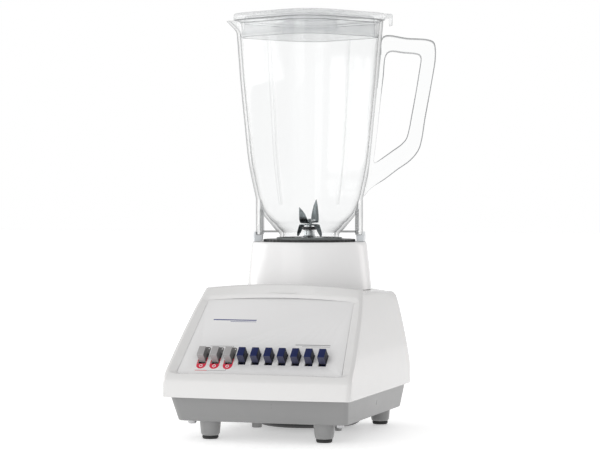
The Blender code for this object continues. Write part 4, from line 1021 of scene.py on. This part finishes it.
revolve(bm, [(3.5, 187.4), (7.0, 187.4), (7.5, 189.3), (30.2, 189.3), (30.2, 190.6), (24.0, 190.6), (21.0, 193.2), (8.0, 194.2), (5.6, 195.6), (5.0, 201.2), (3.5, 201.2)],
        96, AX, True, {2: 0.6, 3: 0.3, 4: 0.3, 5: 1.2, 6: 1.2, 7: 1.0, 8: 1.0, 9: 0.4}, 4)
place(make("blade_carrier", bm, steel_m), "jar_body", ["blade_base"], 40)
bm = bmesh.new()
revolve(bm, [(3.15, 187.6), (3.15, 212.4), (2.6, 213.0)], 40, AX, False, {1: 0.3})
place(make("blade_spindle", bm, steel_m), "blade", ["blade_shaft"], 40)
bm = bmesh.new()
revolve(bm, [(3.45, 201.7), (6.8, 201.7), (7.2, 204.8), (3.45, 204.8)], 56, AX, True, {1: 0.4, 2: 0.5}, 3)
place(make("thrust_washer", bm, phenolic_m), "blade", ["blade_washer"], 40)
bm = bmesh.new()
loft(bm, [[AX + Vector((r * math.cos(2 * math.pi * i / 6), r * math.sin(2 * math.pi * i / 6), z)) for i in range(6)] for r, z in ((3.95, 210.2), (6.4, 210.2), (6.4, 212.6), (3.95, 212.6))], closed=True)
nut = make("lock_nut", bm, steel_m)
bevel(nut, 0.3, 2, 30)
place(nut, "blade", ["blade_nut"], 40)
BLADE_TURN = math.radians(17.4 + 90 - 16)
LOWER_TURN = BLADE_TURN + math.radians(49)


def blade(name, turn, st, rep, bore_z, th=1.4):
    """A bent, ground strip: flat in the middle, thin along both edges."""
    u = Vector((math.cos(turn), math.sin(turn), 0))
    v = Vector((-math.sin(turn), math.cos(turn), 0))
    pts = []
    n = len(st)
    for i in range(n - 1):
        p0, p1, p2, p3 = st[max(0, i - 1)], st[i], st[i + 1], st[min(n - 1, i + 2)]
        for j in range(5):
            t = j / 5
            pts.append([(2 * b + (c - a) * t + (2 * a - 5 * b + 4 * c - d) * t * t + (-a + 3 * b - 3 * c + d) * t ** 3) / 2 for a, b, c, d in zip(p0, p1, p2, p3)])
    pts.append(list(st[-1]))
    rows = []
    for i, (r, z, hw, off) in enumerate(pts):
        a, b = pts[max(0, i - 1)], pts[min(len(pts) - 1, i + 1)]
        d = Vector((b[0] - a[0], b[1] - a[1])).normalized()
        nx, nz = -d.y, d.x
        c = AX + u * r + Z * z
        hw = max(0.25, hw)
        row = []
        for q, p in ((-1, -0.16), (-0.62, -0.5), (0.62, -0.5), (1, -0.16), (1, 0.16), (0.62, 0.5), (-0.62, 0.5), (-1, 0.16)):
            row.append(c + v * (off + q * hw) + (u * nx + Z * nz) * p * th)
        rows.append(row)
    bm = bmesh.new()
    loft(bm, rows)
    ob = make(name, bm, blade_m)
    bm = bmesh.new()
    rod(bm, (0, AXIS_Y, bore_z - 4), (0, AXIS_Y, bore_z + 4), 3.5, 3.5, 40)
    join(ob, [make("bore", bm)], 'DIFFERENCE')
    return place(ob, "blade", [rep], 30)


UP = [(-23.0, 224.6, 0.3, 4.1), (-22.3, 221.8, 1.6, 3.0), (-21.3, 217.5, 3.2, 1.6), (-19.2, 212.4, 4.2, 0.9), (-16.6, 209.7, 4.8, 0.3), (-12.0, 209.1, 6.0, 0.0), (0, 209.1, 6.2, 0),
      (12.0, 209.1, 6.0, 0.0), (15.8, 209.8, 4.6, -0.6), (17.8, 212.6, 4.1, -0.9), (19.6, 219.0, 3.4, -0.7), (20.9, 226.5, 2.0, -0.9), (21.8, 232.2, 0.3, -1.3)]
LO = [(-19.6, 195.2, 0.6, -1.2), (-18.9, 197.6, 1.9, -0.8), (-16.6, 202.4, 2.7, -0.3), (-14.0, 205.8, 3.4, 0.0), (-11.0, 206.9, 4.6, 0.0), (0, 206.9, 5.4, 0),
      (11.0, 206.9, 4.6, 0.0), (14.0, 205.8, 3.4, 0.0), (16.6, 202.4, 2.7, 0.3), (18.9, 197.6, 1.9, 0.8), (19.6, 195.2, 0.6, 1.2)]
blade("cutter_upper", BLADE_TURN, UP, "blade_upper", 209)
blade("cutter_lower", LOWER_TURN, LO, "blade_lower", 207)

# -------------------------------------------------------------- lid and cap
LIDP = [(414.4, 76.6, 31.5), (415.4, 77.35, 32.0), (415.9, 76.7, 31.6), (416.6, 77.35, 32.0), (419.6, 77.35, 32.0), (421.1, 76.2, 31.0), (LID_TOP, 74.0, 30.0)]
rings = [jring(h, r, z) for z, h, r in LIDP]
rings += [jring(60, 29, LID_TOP), jring(45, 33, LID_TOP - 0.15), jring(32, 30, LID_TOP - 0.15), jring(29.4, 29.4, LID_TOP), jring(28.2, 28.2, LID_TOP - 0.1), jring(28.2, 28.2, 404.0), jring(30.4, 30.4, 404.0), jring(30.4, 30.4, 418.3),
          jring(65.8, 27.0, 418.3), jring(66.8, 26.0, 412.0), jring(66.8, 25.5, 397.0), jring(70.0, 26.6, 397.0), jring(70.2, 26.6, 399.5), jring(68.9, 26.0, 401.2), jring(69.4, 26.0, 411.2),
          jring(70.9, 26.4, 412.0), jring(70.9, 26.4, 414.4)]
bm = bmesh.new()
loft(bm, arc_rings(rings, {0: 0.5, 1: 0.3, 2: 0.4, 3: 0.4, 4: 1.2, 5: 0.8, 6: 1.5, 10: 0.5, 12: 0.4, 13: 0.4, 14: 1.0, 15: 1.5, 17: 0.7, 18: 0.7, 19: 0.5, 20: 0.6, 21: 0.8, 22: 0.5}, 3, closed=True), closed=True)
bm.normal_update()
bmesh.ops.recalc_face_normals(bm, faces=bm.faces[:])
for f in bm.faces:
    c = f.calc_center_median()
    if math.hypot(c.x, c.y - AXIS_Y) < 31.5 and c.z < 418.6:
        f.material_index = 1
    # painted shade: faces turned downwards take the darker underside copy
    elif f.normal.z < -0.6 and c.z < 417:
        f.material_index = 3
    elif c.z < 412.2:
        f.material_index = 2
lid = make("jar_lid", bm, lid_m)
for m in (cap_m, skirt_m, underside_shade_m):
    lid.data.materials.append(m)
bm = bmesh.new()
slab(bm, (AX, JS, JT, Z), rounded([(68, -13), (79, -12), (83.6, -8.6), (84.8, 0), (83.6, 8.6), (79, 12), (68, 13)], 2.0, 4), 416.9, 420.5)
tab = make("tab", bm)
bevel(tab, 1.0, 3, 50)
bm = bmesh.new()
slab(bm, (AX, JS, JT, Z), [(80.8, -7.4), (83.7, -7.4), (84.5, 0), (83.7, 7.4), (80.8, 7.4)], 408.9, 418.0)
hook = make("hook", bm)
bevel(hook, 0.8, 3, 40)
join(lid, [tab, hook], 'UNION')
place(lid, "lid_body", ["lid"], 32)
bm = bmesh.new()
revolve(bm, [(27.7, 402.0), (27.7, 421.8), (33.0, 421.8), (33.4, 422.5), (32.4, CAP_TOP), (26.0, CAP_TOP), (25.0, CAP_TOP - 0.5), (0.4, CAP_TOP - 0.5), (0.4, 421.2), (25.6, 421.2), (25.6, 402.0)], 128, AX, True,
        {0: 0.6, 1: 0.4, 2: 0.3, 3: 0.4, 4: 0.4, 5: 0.4, 6: 0.4, 9: 0.6, 10: 0.6}, 3)
place(make("measuring_cap", bm, cap_m), "cap_body", ["filler_cap"], 40)

# -------------------------------------------------- materials of what remains
FINISH = {"switch_block": phenolic_m, "stator_core": iron_m, "armature_core": iron_m, "field_coil_left": copper_m, "field_coil_right": copper_m,
          "armature_winding_upper": copper_m, "armature_winding_lower": copper_m, "commutator": brass_m, "bearing_bracket_upper": bracket_m,
          "bearing_bracket_lower": bracket_m, "bearing_upper": brass_m, "bearing_lower": brass_m, "brush_holder_front": brass_m, "brush_holder_rear": brass_m,
          "carbon_brush_front": carbon_m, "carbon_brush_rear": carbon_m, "cooling_fan": black_m, "armature_shaft": steel_m, "drive_stud": steel_m,
          "drive_socket": black_m}
for n, ob in NODES.items():
    m = FINISH.get(n, screw_m if n.startswith("tray_screw") else None)
    if m is None:
        continue
    if not ob.material_slots:
        ob.data.materials.append(m.m)
    for s in ob.material_slots:
        s.material = m.m

# --------------------------------------------------- floor, light and camera
fl = Mat("pale_floor", (0.93, 0.93, 0.93), 0.55)
fl.b.inputs["Emission Color"].default_value = (1, 1, 1, 1)
fl.b.inputs["Emission Strength"].default_value = 0.42
fl.tint(fl.remap(fl.noise(3, 3.0), 0.35, 0.7, 0.0, 0.5), (0.92, 0.92, 0.92))
bm = bmesh.new()
bmesh.ops.create_grid(bm, x_segments=8, y_segments=8, size=9.0)
me = bpy.data.meshes.new("floor")
bm.to_mesh(me)
bm.free()
me.materials.append(fl.m)
floor = bpy.data.objects.new("floor", me)
SC.collection.objects.link(floor)
floor.location = (0, 0, -0.0002)

wd = bpy.data.worlds.new("studio")
SC.world = wd
wd.use_nodes = True
nt = wd.node_tree
bg = nt.nodes["Background"]
bg.inputs["Color"].default_value = (1, 1, 1, 1)
lp = nt.nodes.new("ShaderNodeLightPath")
tc = nt.nodes.new("ShaderNodeTexCoord")
sp = nt.nodes.new("ShaderNodeSeparateXYZ")
nt.links.new(tc.outputs["Generated"], sp.inputs[0])
sky = nt.nodes.new("ShaderNodeMapRange")
sky.inputs["From Min"].default_value = 0.05
sky.inputs["From Max"].default_value = 0.85
sky.inputs["To Min"].default_value = 0.95
sky.inputs["To Max"].default_value = 0.58
nt.links.new(sp.outputs["Z"], sky.inputs["Value"])
side = nt.nodes.new("ShaderNodeMapRange")
side.inputs["From Min"].default_value = -1.0
side.inputs["From Max"].default_value = 1.0
side.inputs["To Min"].default_value = 1.04
side.inputs["To Max"].default_value = 0.80
nt.links.new(sp.outputs["X"], side.inputs["Value"])
both = nt.nodes.new("ShaderNodeMath")
both.operation = "MULTIPLY"
nt.links.new(sky.outputs[0], both.inputs[0])
nt.links.new(side.outputs[0], both.inputs[1])
mr = nt.nodes.new("ShaderNodeMapRange")
mr.inputs["To Max"].default_value = 1.0
nt.links.new(lp.outputs["Is Camera Ray"], mr.inputs["Value"])
nt.links.new(both.outputs[0], mr.inputs["To Min"])
nt.links.new(mr.outputs[0], bg.inputs["Strength"])

CA = math.radians(17.438)
to_cam = Vector((math.sin(CA), -math.cos(CA), 0))
centre = W((0, AXIS_Y, 0))


def lamp(name, kind, energy, color=(1, 1, 1), **kw):
    d = bpy.data.lights.new(name, kind)
    d.energy = energy
    d.color = color
    for k, v in kw.items():
        setattr(d, k, v)
    o = bpy.data.objects.new(name, d)
    SC.collection.objects.link(o)
    o.visible_camera = False
    return o


def aim(o, at):
    d = Vector(at) - o.location
    o.rotation_euler = d.to_track_quat("-Z", "Z").to_euler()


sun = lamp("soft_top", "SUN", 0.25, angle=math.radians(70))
sun.rotation_euler = (math.radians(14), math.radians(-16), 0)
for nm, deg, e in (("strip_left", -116, 3.8), ("strip_right", 116, 1.9)):
    a = math.radians(deg)
    d = Vector((to_cam.x * math.cos(a) - to_cam.y * math.sin(a), to_cam.x * math.sin(a) + to_cam.y * math.cos(a), 0))
    s = lamp(nm, "AREA", e, (1, 1, 1) if deg < 0 else (1, 0.93, 0.935), shape="RECTANGLE", size=0.34, size_y=1.3)
    s.location = centre + d * 1.5 + Vector((0, 0, 0.35))
    aim(s, centre + Vector((0, 0, 0.35)))

kd = Matrix.Rotation(math.radians(-38), 3, 'Z') @ to_cam
key = lamp("key_front_left", "AREA", 10.2, shape="SQUARE", size=1.8)
key.location = centre + kd * 2.6 + Vector((0, 0, 0.55))
aim(key, centre + Vector((0, 0, 0.1)))

cam = bpy.data.cameras.new("camera")
cam.sensor_width = 36.0
cam.lens = 2262.85 * 36 / 600
cam_o = bpy.data.objects.new("camera", cam)
SC.collection.objects.link(cam_o)
ya, pi_ = math.radians(17.438 - 0.180), math.radians(1.012)
fw = Vector((-math.sin(ya) * math.cos(pi_), math.cos(ya) * math.cos(pi_), -math.sin(pi_)))
r = Vector((math.cos(ya), math.sin(ya), 0))
up = r.cross(fw)
M = Matrix((r, up, -fw)).transposed().to_4x4()
M.translation = W((2250 * math.sin(CA), -2250 * math.cos(CA), 247.25))
cam_o.matrix_world = M
cam.clip_start, cam.clip_end = 0.05, 60
SC.camera = cam_o
SC.view_settings.view_transform = 'Standard'
SC.view_settings.look = 'None'
SC.cycles.transparent_max_bounces = 32
SC.cycles.max_bounces = 12

bpy.context.view_layer.update()
